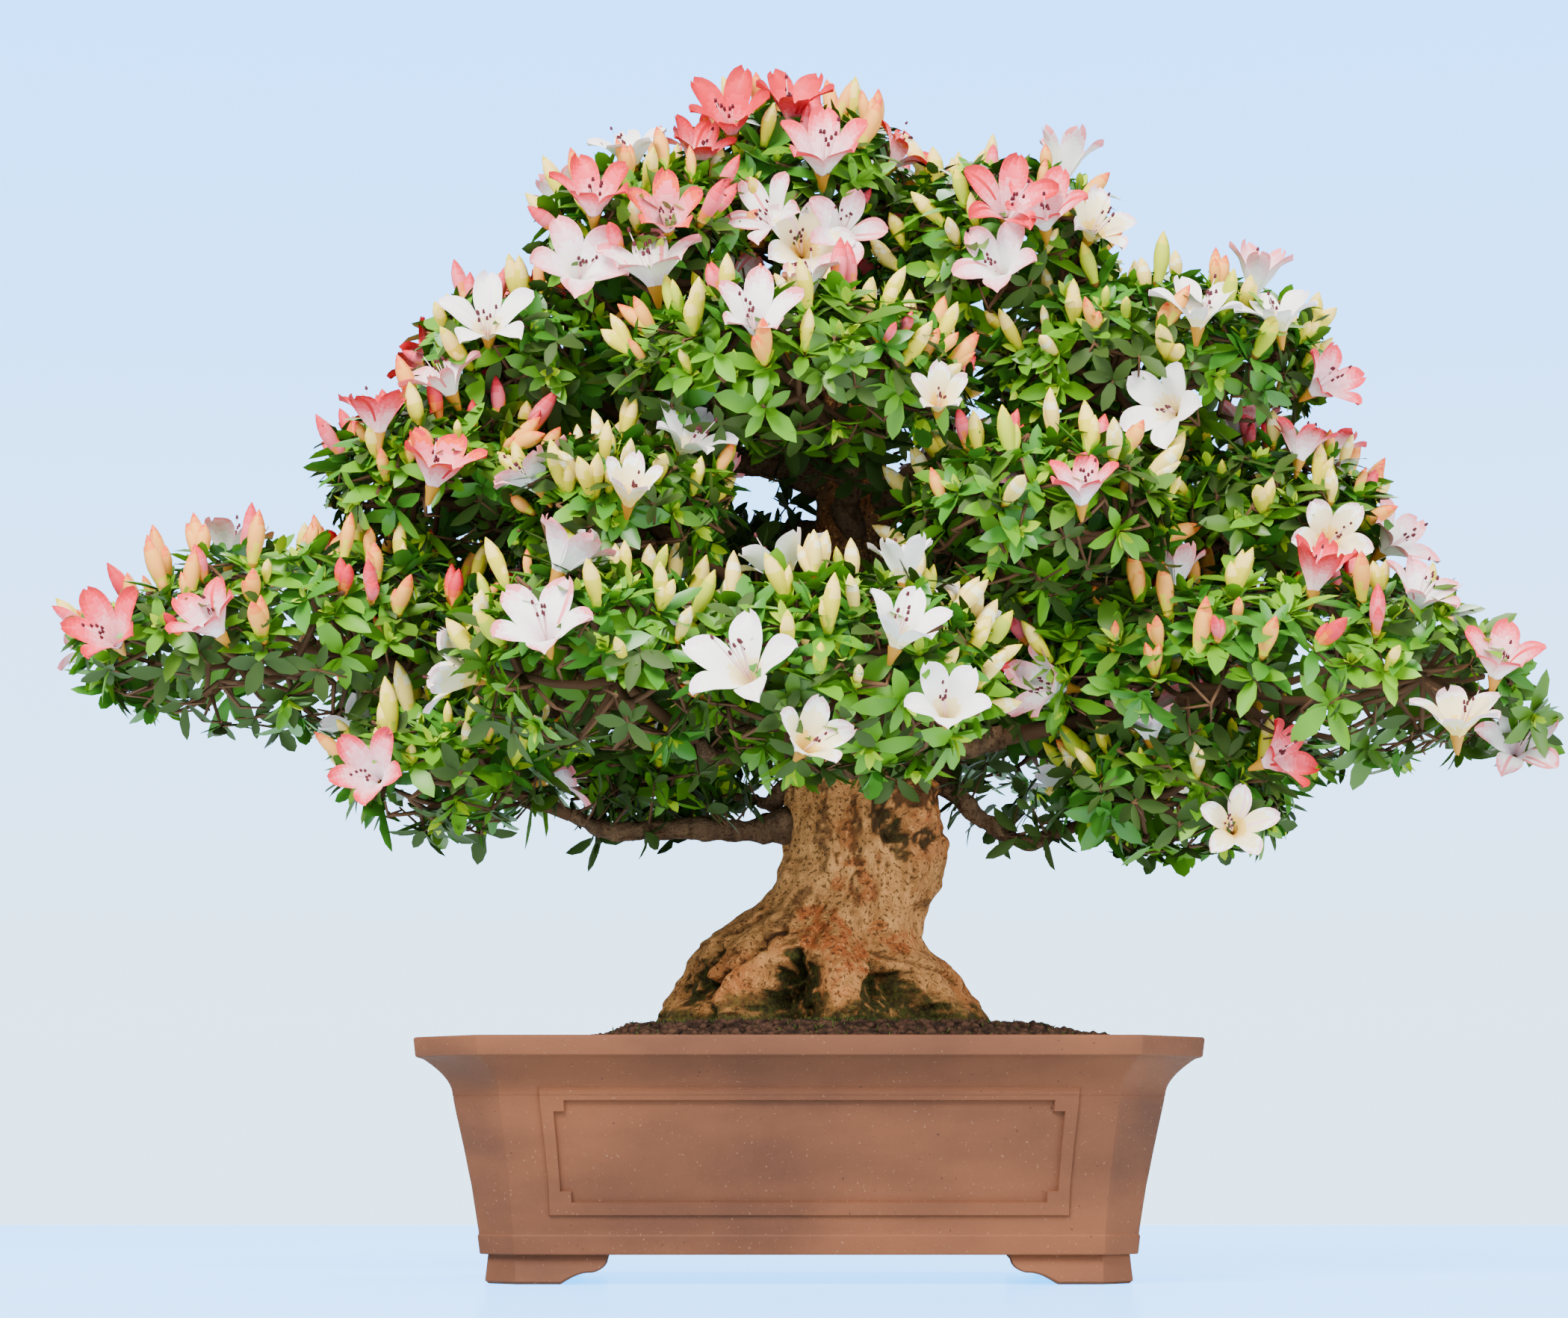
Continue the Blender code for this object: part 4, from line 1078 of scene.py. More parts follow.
    def build(self) -> None:
        """Make the trunk in place of its solid.

        Each point lies from the trunk's middle by its line's radius, plus the bark's relief, less
        the marks' depths on the front.
        """
        foot, tip = self.line.foot, self.line.tip
        levels = foot + (tip - foot) * np.linspace(0, 1, self.rows) ** self.crowding
        bearings, heights = np.meshgrid(np.linspace(0, 360, self.columns, endpoint=False), levels)
        centres, factor = self.smoothed(levels)
        radius = self.line.radius(bearings, heights) * factor[:, None]
        across = np.stack((np.cos(np.radians(bearings)), np.sin(np.radians(bearings))), axis=-1)
        out = across * np.array((1.0, self.line.depth_ratio))
        out = np.concatenate((out, np.zeros_like(heights)[..., None]), axis=-1)
        points = centres[:, None, :] + out * radius[..., None]
        front = smooth_step(-across[..., 1], 0.02, 0.3)
        relief, pits = bark_relief(points, self.lumps, self.stretch, self.pit_depth)
        relief = relief * np.minimum(1.0, radius / self.full_relief)
        tufts, grit = lattice_noise(points, 0.006, SEED + 21), lattice_noise(points, 0.0032, SEED + 23)
        # painted shade in the bark's pits, and red in broad patches
        dark, red = 0.45 * pits, 0.5 * smooth_step(lattice_noise(points, 0.05, SEED + 22), 0.1, 0.6)
        full, none = self.foot_moss
        moss = smooth_step(none - heights + 0.012 * tufts, 0.0, none - full)
        for mark in self.marks:
            near = mark.nearness(points) * front
            relief = relief - mark.depth * near
            # painted shade in the marks' creases and hollows, and dark lichen on their flat patches
            dark = np.maximum(dark, mark.dark * smooth_step(near + 0.8 * grit, 0.45, 0.95))
            moss = np.maximum(moss, mark.moss * smooth_step(near + 0.5 * tufts + 0.4 * grit, 0.4, 0.75))
            red = np.maximum(red, mark.red * smooth_step(near + 0.8 * tufts + 0.6 * grit, 0.3, 1.3))
        surface = Patch.grid(points + out * relief[..., None])
        thing = surface.to_piece("trunk_with_bark", [TRUNK_BARK], "bark", "trunk")
        set_marks(thing, dark, 0.92 * moss * smooth_step(grit, -1.1, -0.2), red)


class Crown:
    """The masses' spaces and the boughs' routes, by the rule that the solids were made by."""

    power = 2.5  # a mass's space is a little fuller than an ellipsoid, whose power is 2
    area_power = 1.6
    entry_angle = math.radians(32.0)
    heart_pull = 0.22
    bough_points = 7
    bough_tip_share = 0.5
    bough_wander = 0.005
    bough_start_share = 0.4
    bough_end_share = 0.24
    limb_clearance = 0.0015

    def __init__(self, line: TrunkLine) -> None:
        """Work out every mass's space and the limbs that its twigs keep clear of."""
        self.line = line
        self.centres = np.array([mass.centre for mass in MASSES])
        self.reaches = np.array([mass.reach for mass in MASSES])
        self.limbs = self.limb_samples()

    def nearness(self, points: Array) -> Array:
        """How far each point is from each mass's middle, as a share of its reach."""
        offsets = (points[:, None, :] - self.centres) / self.reaches
        return (np.abs(offsets) ** self.power).sum(axis=-1) ** (1 / self.power)

    def at(self, index: int, directions: Array, reach: float | Array) -> Array:
        """The points in some directions from a mass's middle, at a share of its reach."""
        length = (np.abs(directions) ** self.power).sum(axis=-1, keepdims=True) ** (1 / self.power)
        reach = np.asarray(reach, float)
        share = reach[..., None] if reach.ndim else reach
        return self.centres[index] + directions * self.reaches[index] * share / length

    def outwards(self, index: int, points: Array) -> Array:
        """The directions square to a mass's surface: the slope of its nearness at each point."""
        offsets = points - self.centres[index]
        slopes = np.sign(offsets) * np.abs(offsets / self.reaches[index]) ** (self.power - 1)
        return unit(slopes / self.reaches[index] + 1e-9)

    def clearance(self, points: Array) -> Array:
        """How far each point is from the nearest limb's surface."""
        away = np.linalg.norm(points[:, None, :] - self.limbs[:, :3], axis=-1)
        return (away - self.limbs[:, 3]).min(axis=1)

    def holds(self, index: int, points: Array) -> Array:
        """Which points lie in a mass's space, nearer it than any other mass, and clear of limbs."""
        nearness = self.nearness(points)
        own = nearness[:, index]
        other = np.delete(nearness, index, axis=1).min(axis=1)
        return (own <= 1) & (own <= other) & (self.clearance(points) > self.limb_clearance)

    def entry_point(self, mass: Mass) -> Vector:
        """Where the bough enters its mass: on its space's edge, inwards and below the middle."""
        if mass.fork >= self.line.tip:
            return self.line.centre_point(mass.fork)
        inwards = self.line.centre_point(mass.fork) - Vector(mass.centre)
        inwards.z = 0.0
        inwards.normalize()
        aim = np.array(inwards * math.cos(self.entry_angle) - Vector((0, 0, math.sin(self.entry_angle))))
        return Vector(self.at(MASSES.index(mass), aim[None], 1.0)[0])

    def heart_point(self, mass: Mass) -> Vector:
        """The point near a mass's middle from which its shoots spread."""
        return Vector(mass.centre).lerp(self.entry_point(mass), self.heart_pull)

    def bough_route(self, mass: Mass) -> tuple[Array, Array]:
        """A bough's line from inside the trunk to its mass's edge.

        Args:
            mass: The mass that it carries.

        Returns:
            Points on a cubic curve, its middle ones nudged, and their radii.
        """
        chance = random.Random(f"{SEED} bough {mass.name}")
        start, end = self.line.centre_point(mass.fork), self.entry_point(mass)
        span = (end - start).length
        outwards = (end - start) * Vector((1, 1, 0))
        into_mass = (self.heart_point(mass) - end).normalized()
        first = start + outwards.normalized() * span * self.bough_start_share
        last = end - into_mass * span * self.bough_end_share
        points = interpolate_bezier(start, first, last, end, self.bough_points)
        for index in range(2, self.bough_points - 2):
            points[index] += Vector([chance.uniform(-self.bough_wander, self.bough_wander) for _ in range(3)])
        points[-2] = end - into_mass * (end - points[-2]).length
        shares = np.linspace(0, 1, self.bough_points)
        return np.array(points), mass.girth * (1 - (1 - self.bough_tip_share) * shares)

    def limb_samples(self) -> Array:
        """Points along the trunk and boughs, with the limb's radius at each."""
        heights = np.linspace(self.line.foot, self.line.tip, 60)
        widest = self.line.radius(np.arange(0.0, 360.0, 15.0)[None], heights[:, None]).max(axis=1)
        samples = [np.column_stack((self.line.centre(heights), widest))]
        shares = np.linspace(0, 1, 5)[:, None]
        for mass in MASSES:
            if mass.fork < self.line.tip:
                points, radii = self.bough_route(mass)
                for start, end, radius in zip(points, points[1:], radii):
                    samples.append(np.column_stack((start + (end - start) * shares, np.full(5, radius))))
        return np.concatenate(samples)


def eased_route(points: Array, radii: Array, count: int) -> tuple[Array, Array]:
    """A smooth line through a limb's points.

    Between two it is the cubic whose slope at each is half the step between its neighbours.

    Args:
        points: The limb's points.
        radii: Its radius at each.
        count: How many points to give.

    Returns:
        The finer points and their radii.
    """
    places = np.linspace(0, len(points) - 1, count)
    index = np.minimum(places.astype(int), len(points) - 2)
    share = (places - index)[:, None]
    padded = np.concatenate((2 * points[:1] - points[1:2], points, 2 * points[-1:] - points[-2:-1]))
    before, start, end, after = (padded[index + step] for step in range(4))
    leave, arrive = (end - before) / 2, (after - start) / 2
    line = (2 * share**3 - 3 * share**2 + 1) * start + (share**3 - 2 * share**2 + share) * leave
    line += (3 * share**2 - 2 * share**3) * end + (share**3 - share**2) * arrive
    return line, np.interp(places, np.arange(len(points)), radii)


@dataclass
class Boughs:
    """The boughs as tubes with collars, knots and bark."""

    crown: Crown
    sides: int = 24
    rings: int = 84
    collar: float = 0.55  # how much wider a bough is where it leaves the trunk
    collar_length: float = 0.014
    knots: int = 9
    knot_height: float = 0.26
    knot_length: float = 1.6  # as a share of the bough's radius
    knot_breadth: float = 0.9  # radians
    lumps: tuple = ((0.01, 0.0016), (0.0042, 0.0009))

    def tube(self, mass: Mass) -> tuple[Patch, Array]:
        """One bough's surface.

        Each ring is a circle square to the line, wider by the collar, which dies away from the
        trunk's surface, by rounded knots at seeded places, and by the bark's relief.

        Args:
            mass: The mass that the bough carries.

        Returns:
            The closed tube, and the painted shade of its bark's pits.
        """
        chance = np.random.default_rng([SEED, MASSES.index(mass)])
        points, radii = self.crown.bough_route(mass)
        line, radius = eased_route(points, radii, self.rings)
        along = unit(np.gradient(line, axis=0))
        side = unit(np.cross(along, UP))
        over = np.cross(side, along)
        distance = np.concatenate(((0,), np.cumsum(np.linalg.norm(np.diff(line, axis=0), axis=1))))
        levels, _, widths = zip(*self.crown.line.stations)
        half_width = float(np.interp(mass.fork, levels, widths))
        out = np.clip(distance - half_width, 0, None)
        radius = radius * (1 + self.collar * np.exp(-out / self.collar_length))
        turns = bearings_round(self.sides)
        swell = np.ones((self.rings, self.sides))
        for _ in range(self.knots):
            where, bearing = chance.uniform(half_width, distance[-1]), chance.uniform(0, FULL_TURN)
            around = np.angle(np.exp(1j * (turns - bearing)))
            near = ((distance - where) / (self.knot_length * mass.girth))[:, None] ** 2
            near = near + (around / self.knot_breadth) ** 2
            swell += self.knot_height * np.exp(-near)
        ring = circles(side, over, turns)
        surface = line[:, None] + ring * (radius[:, None] * swell)[..., None]
        rough, pits = bark_relief(surface, self.lumps, 1.0, 0.0008)
        return Patch.grid(surface + ring * rough[..., None]), pits

    def build(self) -> None:
        """Make every bough in place of its solid."""
        for mass in MASSES:
            if mass.fork < self.crown.line.tip:
                tube, pits = self.tube(mass)
                thing = tube.to_piece(f"limb_{mass.name}", [BOUGH_BARK], "bark", f"bough_{mass.name}")
                # painted shade in the bark's pits, and no moss or red
                set_marks(thing, 0.7 * pits, 0 * pits, 0 * pits)


def twig_patch(starts: Array, ends: Array, radii: tuple[float, float], sides: int, bow: float) -> Patch:
    """Many tapering twigs at once, each a straight line less a bow of 4t(1 - t) times its length.

    Args:
        starts: Where each begins.
        ends: Where each ends.
        radii: Radius at the start and at the end.
        sides: Sides of the rings.
        bow: How far the middle hangs, as a share of the length.

    Returns:
        All the twigs as one patch.
    """
    rings = 4
    shares = np.linspace(0, 1, rings)
    spans = ends - starts
    lengths = np.linalg.norm(spans, axis=1)
    along = spans / lengths[:, None]
    line = starts[:, None] + spans[:, None] * shares[:, None]
    line[..., 2] -= bow * lengths[:, None] * 4 * shares * (1 - shares)
    side = square_to(along, np.zeros(len(along)))
    over = np.cross(along, side)
    radius = radii[0] + (radii[1] - radii[0]) * shares
    points = line[:, :, None] + circles(side, over, bearings_round(sides))[:, None] * radius[:, None, None]
    points = np.concatenate((points.reshape(len(starts), -1, 3), line[:, [0, -1]]), axis=1)
    return Patch.grid(np.zeros((rings, sides, 3))).repeat(points)


def shell_directions(count: int, jitter: float, chance: Chance) -> Array:
    """Directions spread evenly over a sphere by the golden angle.

    Args:
        count: How many.
        jitter: The largest nudge along each axis.
        chance: The source of the nudges.

    Returns:
        Unit vectors.
    """
    index = np.arange(count)
    up = 1 - (2 * index + 1) / count
    level = np.sqrt(1 - up * up)
    turn = chance.uniform(0, FULL_TURN) + GOLDEN_ANGLE * index
    even = np.stack((level * np.cos(turn), level * np.sin(turn), up), axis=1)
    return unit(even + chance.uniform(-jitter, jitter, (count, 3)))


@dataclass
class Whorls:
    """Twig tips: where they are, which way they face, which mass they belong to."""

    places: Array
    facing: Array
    masses: Array
    inner: Array  # true for tips in the shade inside a mass

    def away_from(self, places: Array) -> Array:
        """How far each tip is from the nearest of some places."""
        return np.linalg.norm(self.places[:, None] - places, axis=-1).min(axis=1)


@dataclass
class Growth:
    """The growth inside every mass: stems, shoots, branchlets and twigs, and the tips they end in."""

    crown: Crown
    spacings: tuple = (0.125, 0.062, 0.04, 0.0275)  # between main shoots' tips, shoots, branchlets, twigs
    reaches: tuple = (0.5, 0.64, 0.8, 1.0)  # the last is less the leaves' own length
    leaf_depth: float = 0.019  # how far inside a mass's edge its outermost tips end
    depth_spread: float = 0.012
    radii: tuple = (0.0036, 0.0025, 0.0017, 0.0012, 0.0008)
    sides: tuple = (6, 5, 4, 3)
    inner_share: float = 0.36
    under_share: float = 0.3  # of the tips on a mass's underside, those that bear leaves
    low_share: float = 0.68  # the same on its sides' lower part
    jitters: tuple = (0.1, 0.1, 0.08, 0.06)
    spray_spacing: float = 0.0075  # along a bough, between the small twigs that stand on it
    spray_length: tuple = (0.014, 0.046)
    spray_stretch: tuple = (0.34, 0.99)  # the shares of the bough between which they stand
    places_on_bough: int = 40
    spray_clearance: float = 0.004
    shortest: float = 0.003  # of the twigs
    under: float = -0.3  # below this slope a mass's surface is its underside
    lifts: tuple = (0.75, 0.15)  # how far tips turn upwards, elsewhere and there
    disorder: float = 0.28
    # beyond the first of each three sideways, tips are brought down to a line from a height by a slope
    ends: tuple = ((-0.42, 0.456, 0.5), (0.42, 0.438, -1.5))
    twigs: list = field(default_factory=list)

    def sprays(self, mass: Mass, chance: Chance) -> Array:
        """Grow small twigs up and sideways from a mass's bough, and give their tips."""
        points, radii = self.crown.bough_route(mass)
        line, _ = eased_route(points, radii, self.places_on_bough)
        length = float(np.linalg.norm(np.diff(line, axis=0), axis=1).sum())
        count = max(2, round(length / self.spray_spacing))
        shares = chance.uniform(*self.spray_stretch, count)
        starts = line[(self.places_on_bough * shares).astype(int)]
        aims = unit(chance.normal(0, 1.0, (count, 3)) * np.array((1.0, 1.0, 0.5)) + 0.5 * UP)
        ends = starts + aims * chance.uniform(*self.spray_length, (count, 1))
        clear = self.crown.clearance(ends) > self.spray_clearance
        self.twigs.append(twig_patch(starts[clear], ends[clear], (0.0013, 0.0007), 4, 0.04))
        return ends[clear]

    def area(self, mass: Mass) -> float:
        """The area of a mass's surface, by the usual approximation for an ellipsoid."""
        a, b, c = mass.reach
        power = self.crown.area_power
        mean = ((a * b) ** power + (a * c) ** power + (b * c) ** power) / 3
        return 4 * math.pi * mean ** (1 / power)

    def level(self, index: int, step: int, parents: Array, chance: Chance) -> Array:
        """Grow one order of twigs in a mass, each from the nearest of the order before it.

        Args:
            index: The mass's number.
            step: The order, from 0 for the main shoots.
            parents: The ends of the order before.
            chance: The mass's source of chance.

        Returns:
            The ends of the new twigs.
        """
        count = max(4, round(self.area(MASSES[index]) / self.spacings[step] ** 2))
        if step == 0:
            count = max(4, count // 4)
        aims = shell_directions(count, self.jitters[step], chance)
        size = float(np.prod(MASSES[index].reach)) ** (1 / 3)
        last = 1 - (self.leaf_depth + self.depth_spread * chance.random(count)) / size
        reach = self.reaches[step] * (last if step == 3 else 1 + chance.uniform(-0.06, 0.06, count))
        ends = self.crown.at(index, aims, reach)
        for side, height, slope in self.ends:
            ceiling = np.where(ends[:, 0] / side > 1, height + slope * (ends[:, 0] - side), 1.0)
            ends[:, 2] = np.minimum(ends[:, 2], ceiling)
        keep = self.crown.holds(index, ends)
        luck = chance.random(count)
        leafy = (aims[:, 2] > -0.05) | (luck < self.low_share)
        leafy &= (aims[:, 2] > -0.42) | (luck < self.under_share)
        ends, leafy = ends[keep], leafy[keep]
        if not len(ends):
            return parents
        nearest = np.linalg.norm(ends[:, None] - parents, axis=-1).argmin(axis=1)
        starts = parents[nearest]
        far = np.linalg.norm(ends - starts, axis=1) > self.shortest
        radii, bow = self.radii[step : step + 2], 0.03 * (3 - step)
        self.twigs.append(twig_patch(starts[far], ends[far], radii, self.sides[step], bow))
        return ends[leafy] if step == 3 else ends

    def grow(self) -> Whorls:
        """Grow every mass from its bough's tip outwards.

        Returns:
            The tips, each facing outwards, more upwards than its mass's surface, a little at random.
        """
        found = []
        for index, mass in enumerate(MASSES):
            chance = np.random.default_rng([SEED, 100 + index])
            entry, heart = np.array((self.crown.entry_point(mass), self.crown.heart_point(mass)))
            stem = mass.girth * self.crown.bough_tip_share
            self.twigs.append(twig_patch(entry[None], heart[None], (stem, stem * 0.8), 8, 0.0))
            ends = heart[None]
            orders = []
            for step in range(4):
                parents = np.concatenate((ends, heart[None])) if step < 2 else ends
                ends = self.level(index, step, parents, chance)
                orders.append(ends)
            shaded = chance.permutation(len(orders[2]))[: round(self.inner_share * len(orders[3]))]
            shade = orders[2][shaded]
            if mass.fork < self.crown.line.tip:
                shade = np.concatenate((shade, self.sprays(mass, chance)))
            places = np.concatenate((orders[3], shade))
            inner = np.arange(len(places)) >= len(orders[3])
            outwards = self.crown.outwards(index, places)
            lift = np.where(outwards[:, 2:3] > self.under, *self.lifts)
            facing = unit(outwards + lift * UP + chance.normal(0, self.disorder, places.shape))
            found.append(Whorls(places, facing, np.full(len(places), index), inner))
        names = ("places", "facing", "masses", "inner")
        return Whorls(*(np.concatenate([getattr(each, name) for each in found]) for name in names))

    def build(self) -> None:
        """Make one piece of all the twigs, in place of all the masses' solids."""
        nodes = [f"mass_{mass.name}" for mass in MASSES]
        Patch.join(self.twigs).to_piece("twigs", [TWIG_BARK], "bark", *nodes)


@dataclass(frozen=True)
class LeafShape:
    """A leaf's outline and form, as shares of its length."""

    half_width: float = 0.215
    fold: float = 0.24  # how far the blade's halves rise from the midrib
    curl: float = 0.16  # how far the tip hangs
    twist: float = 0.0

    def patch(self) -> Patch:
        """A pointed oval blade of twelve triangles along X, its upper face towards Z.

        Its height is the fold times the distance from the midrib, less the curl times the square
        of the distance along.
        """
        along = np.array((0.2, 0.52, 0.82))
        widths = self.half_width * np.array((0.62, 1.0, 0.66))
        across = np.array((-1.0, 0.0, 1.0))
        x = np.broadcast_to(along[:, None], (3, 3))
        y = widths[:, None] * across
        z = self.fold * np.abs(y) - self.curl * x**2 + self.twist * y * x
        rows = np.stack((x, y, z), axis=-1).reshape(-1, 3)
        points = np.concatenate((rows, [(0.0, 0.0, 0.0), (1.0, 0.0, -self.curl)]))
        faces = [(n, n + 3, n + 4, n + 1) for n in (0, 1, 3, 4)]
        faces += [(9, 0, 1, -1), (9, 1, 2, -1), (6, 10, 7, -1), (7, 10, 8, -1)]
        return Patch(points, np.array(faces), np.zeros(8, int))


@dataclass
class Leaves:
    """All the leaves, in whorls at the twigs' tips, one piece or more for each green."""

    whorls: Whorls
    bloom_places: Array
    # how many leaves a ring has, their least and greatest lean in degrees, their length
    rings: tuple = ((5, (54, 90), 0.03), (3, (28, 58), 0.02))
    inner_ring: tuple = (5, (50, 100), 0.024)
    young_ring: tuple = (4, (8, 44), 0.015)
    lit_share: float = 0.62
    length_change: tuple = (-0.38, 0.14)
    bloom_clearance: float = 0.013
    most_in_a_patch: int = 1000  # leaves
    most_in_a_piece: int = 15  # patches
    tone_shares: tuple = (0.3, 0.22, 0.3, 0.18)  # deep, bluish, middle, fresh
    shapes: tuple = ((), (0.195, 0.36, 0.05, 0.1), (0.235, 0.16, 0.26, -0.12), (0.205, 0.3, -0.08, 0.06))

    def spray_tones(self, chance: Chance) -> Array:
        """The green of each whorl: shaded ones get the darkest, a painted shade, and the others are dealt out
        in patches.
        """
        clouds = lattice_noise(self.whorls.places, 0.05, SEED + 40) * 0.5 + 0.5
        mixed = np.clip(0.65 * chance.random(len(clouds)) + 0.35 * clouds, 0, 0.999)
        tones = 1 + np.searchsorted(np.cumsum(self.tone_shares)[:-1], mixed)
        return np.where(self.whorls.inner, 0, tones)

    def leaves_of(
        self, chosen: Array, count: int, tilt: tuple[float, float], length: float, chance: Chance
    ) -> tuple[Array, Array, Array]:
        """Lay a ring of leaves round each chosen whorl, their upper faces towards its axis.

        Args:
            chosen: Numbers of the whorls.
            count: Leaves to a whorl.
            tilt: The least and greatest lean in degrees.
            length: Their mean length.
            chance: The source of chance.

        Returns:
            Origins, frames and the whorl's number for each leaf.
        """
        owner = np.repeat(chosen, count)
        axes = self.whorls.facing[owner]
        turns = np.tile(np.arange(count), len(chosen)) * FULL_TURN / count
        turns = turns + np.repeat(chance.uniform(0, FULL_TURN, len(chosen)), count)
        turns = turns + chance.normal(0, 0.18, len(owner))
        lean = np.radians(chance.uniform(*tilt, len(owner)))[:, None]
        sideways = square_to(axes, turns)
        along = np.cos(lean) * axes + np.sin(lean) * sideways
        face = unit(np.sin(lean) * axes - np.cos(lean) * sideways)
        size = (length * (1 + chance.uniform(*self.length_change, len(owner))))[:, None, None]
        frames = np.stack((along, np.cross(face, along), face), axis=1) * size
        stem = chance.uniform(-0.0045, 0.0015, len(owner))[:, None]
        return self.whorls.places[owner] + axes * stem, frames, owner

    def build(self) -> None:
        """Make the leaves and join them by their greens."""
        chance = np.random.default_rng([SEED, 200])
        free = self.whorls.away_from(self.bloom_places) > self.bloom_clearance
        outer, inner = (np.flatnonzero((self.whorls.inner == shaded) & free) for shaded in (False, True))
        lit = outer[chance.random(len(outer)) < self.lit_share]
        rings = [(outer, *ring, None) for ring in self.rings]
        rings += [(inner, *self.inner_ring, None), (lit, *self.young_ring, LeafTone.YOUNG)]
        tones = self.spray_tones(chance)
        shapes = [LeafShape(*measures).patch() for measures in self.shapes]
        order = list(LeafTone)
        gathered = {tone: [] for tone in order}
        for chosen, count, tilt, length, fixed in rings:
            origins, frames, owner = self.leaves_of(chosen, count, tilt, length, chance)
            shape = chance.integers(len(shapes), size=len(owner))
            tone = np.full(len(owner), order.index(fixed)) if fixed else tones[owner]
            for number, template in itertools.product(range(len(order)), range(len(shapes))):
                pick = np.flatnonzero((tone == number) & (shape == template))
                for some in np.split(pick, range(0, len(pick), self.most_in_a_patch))[1:]:
                    gathered[order[number]].append(shapes[template].stamp(origins[some], frames[some]))
        for tone, copies in gathered.items():
            for number, start in enumerate(range(0, len(copies), self.most_in_a_piece), 1):
                name = f"leaves_{tone.name.lower()}_{number}"
                leaves = Patch.join(copies[start : start + self.most_in_a_piece])
                leaves.to_piece(name, [LivingFinish(*tone.value)], "foliage")


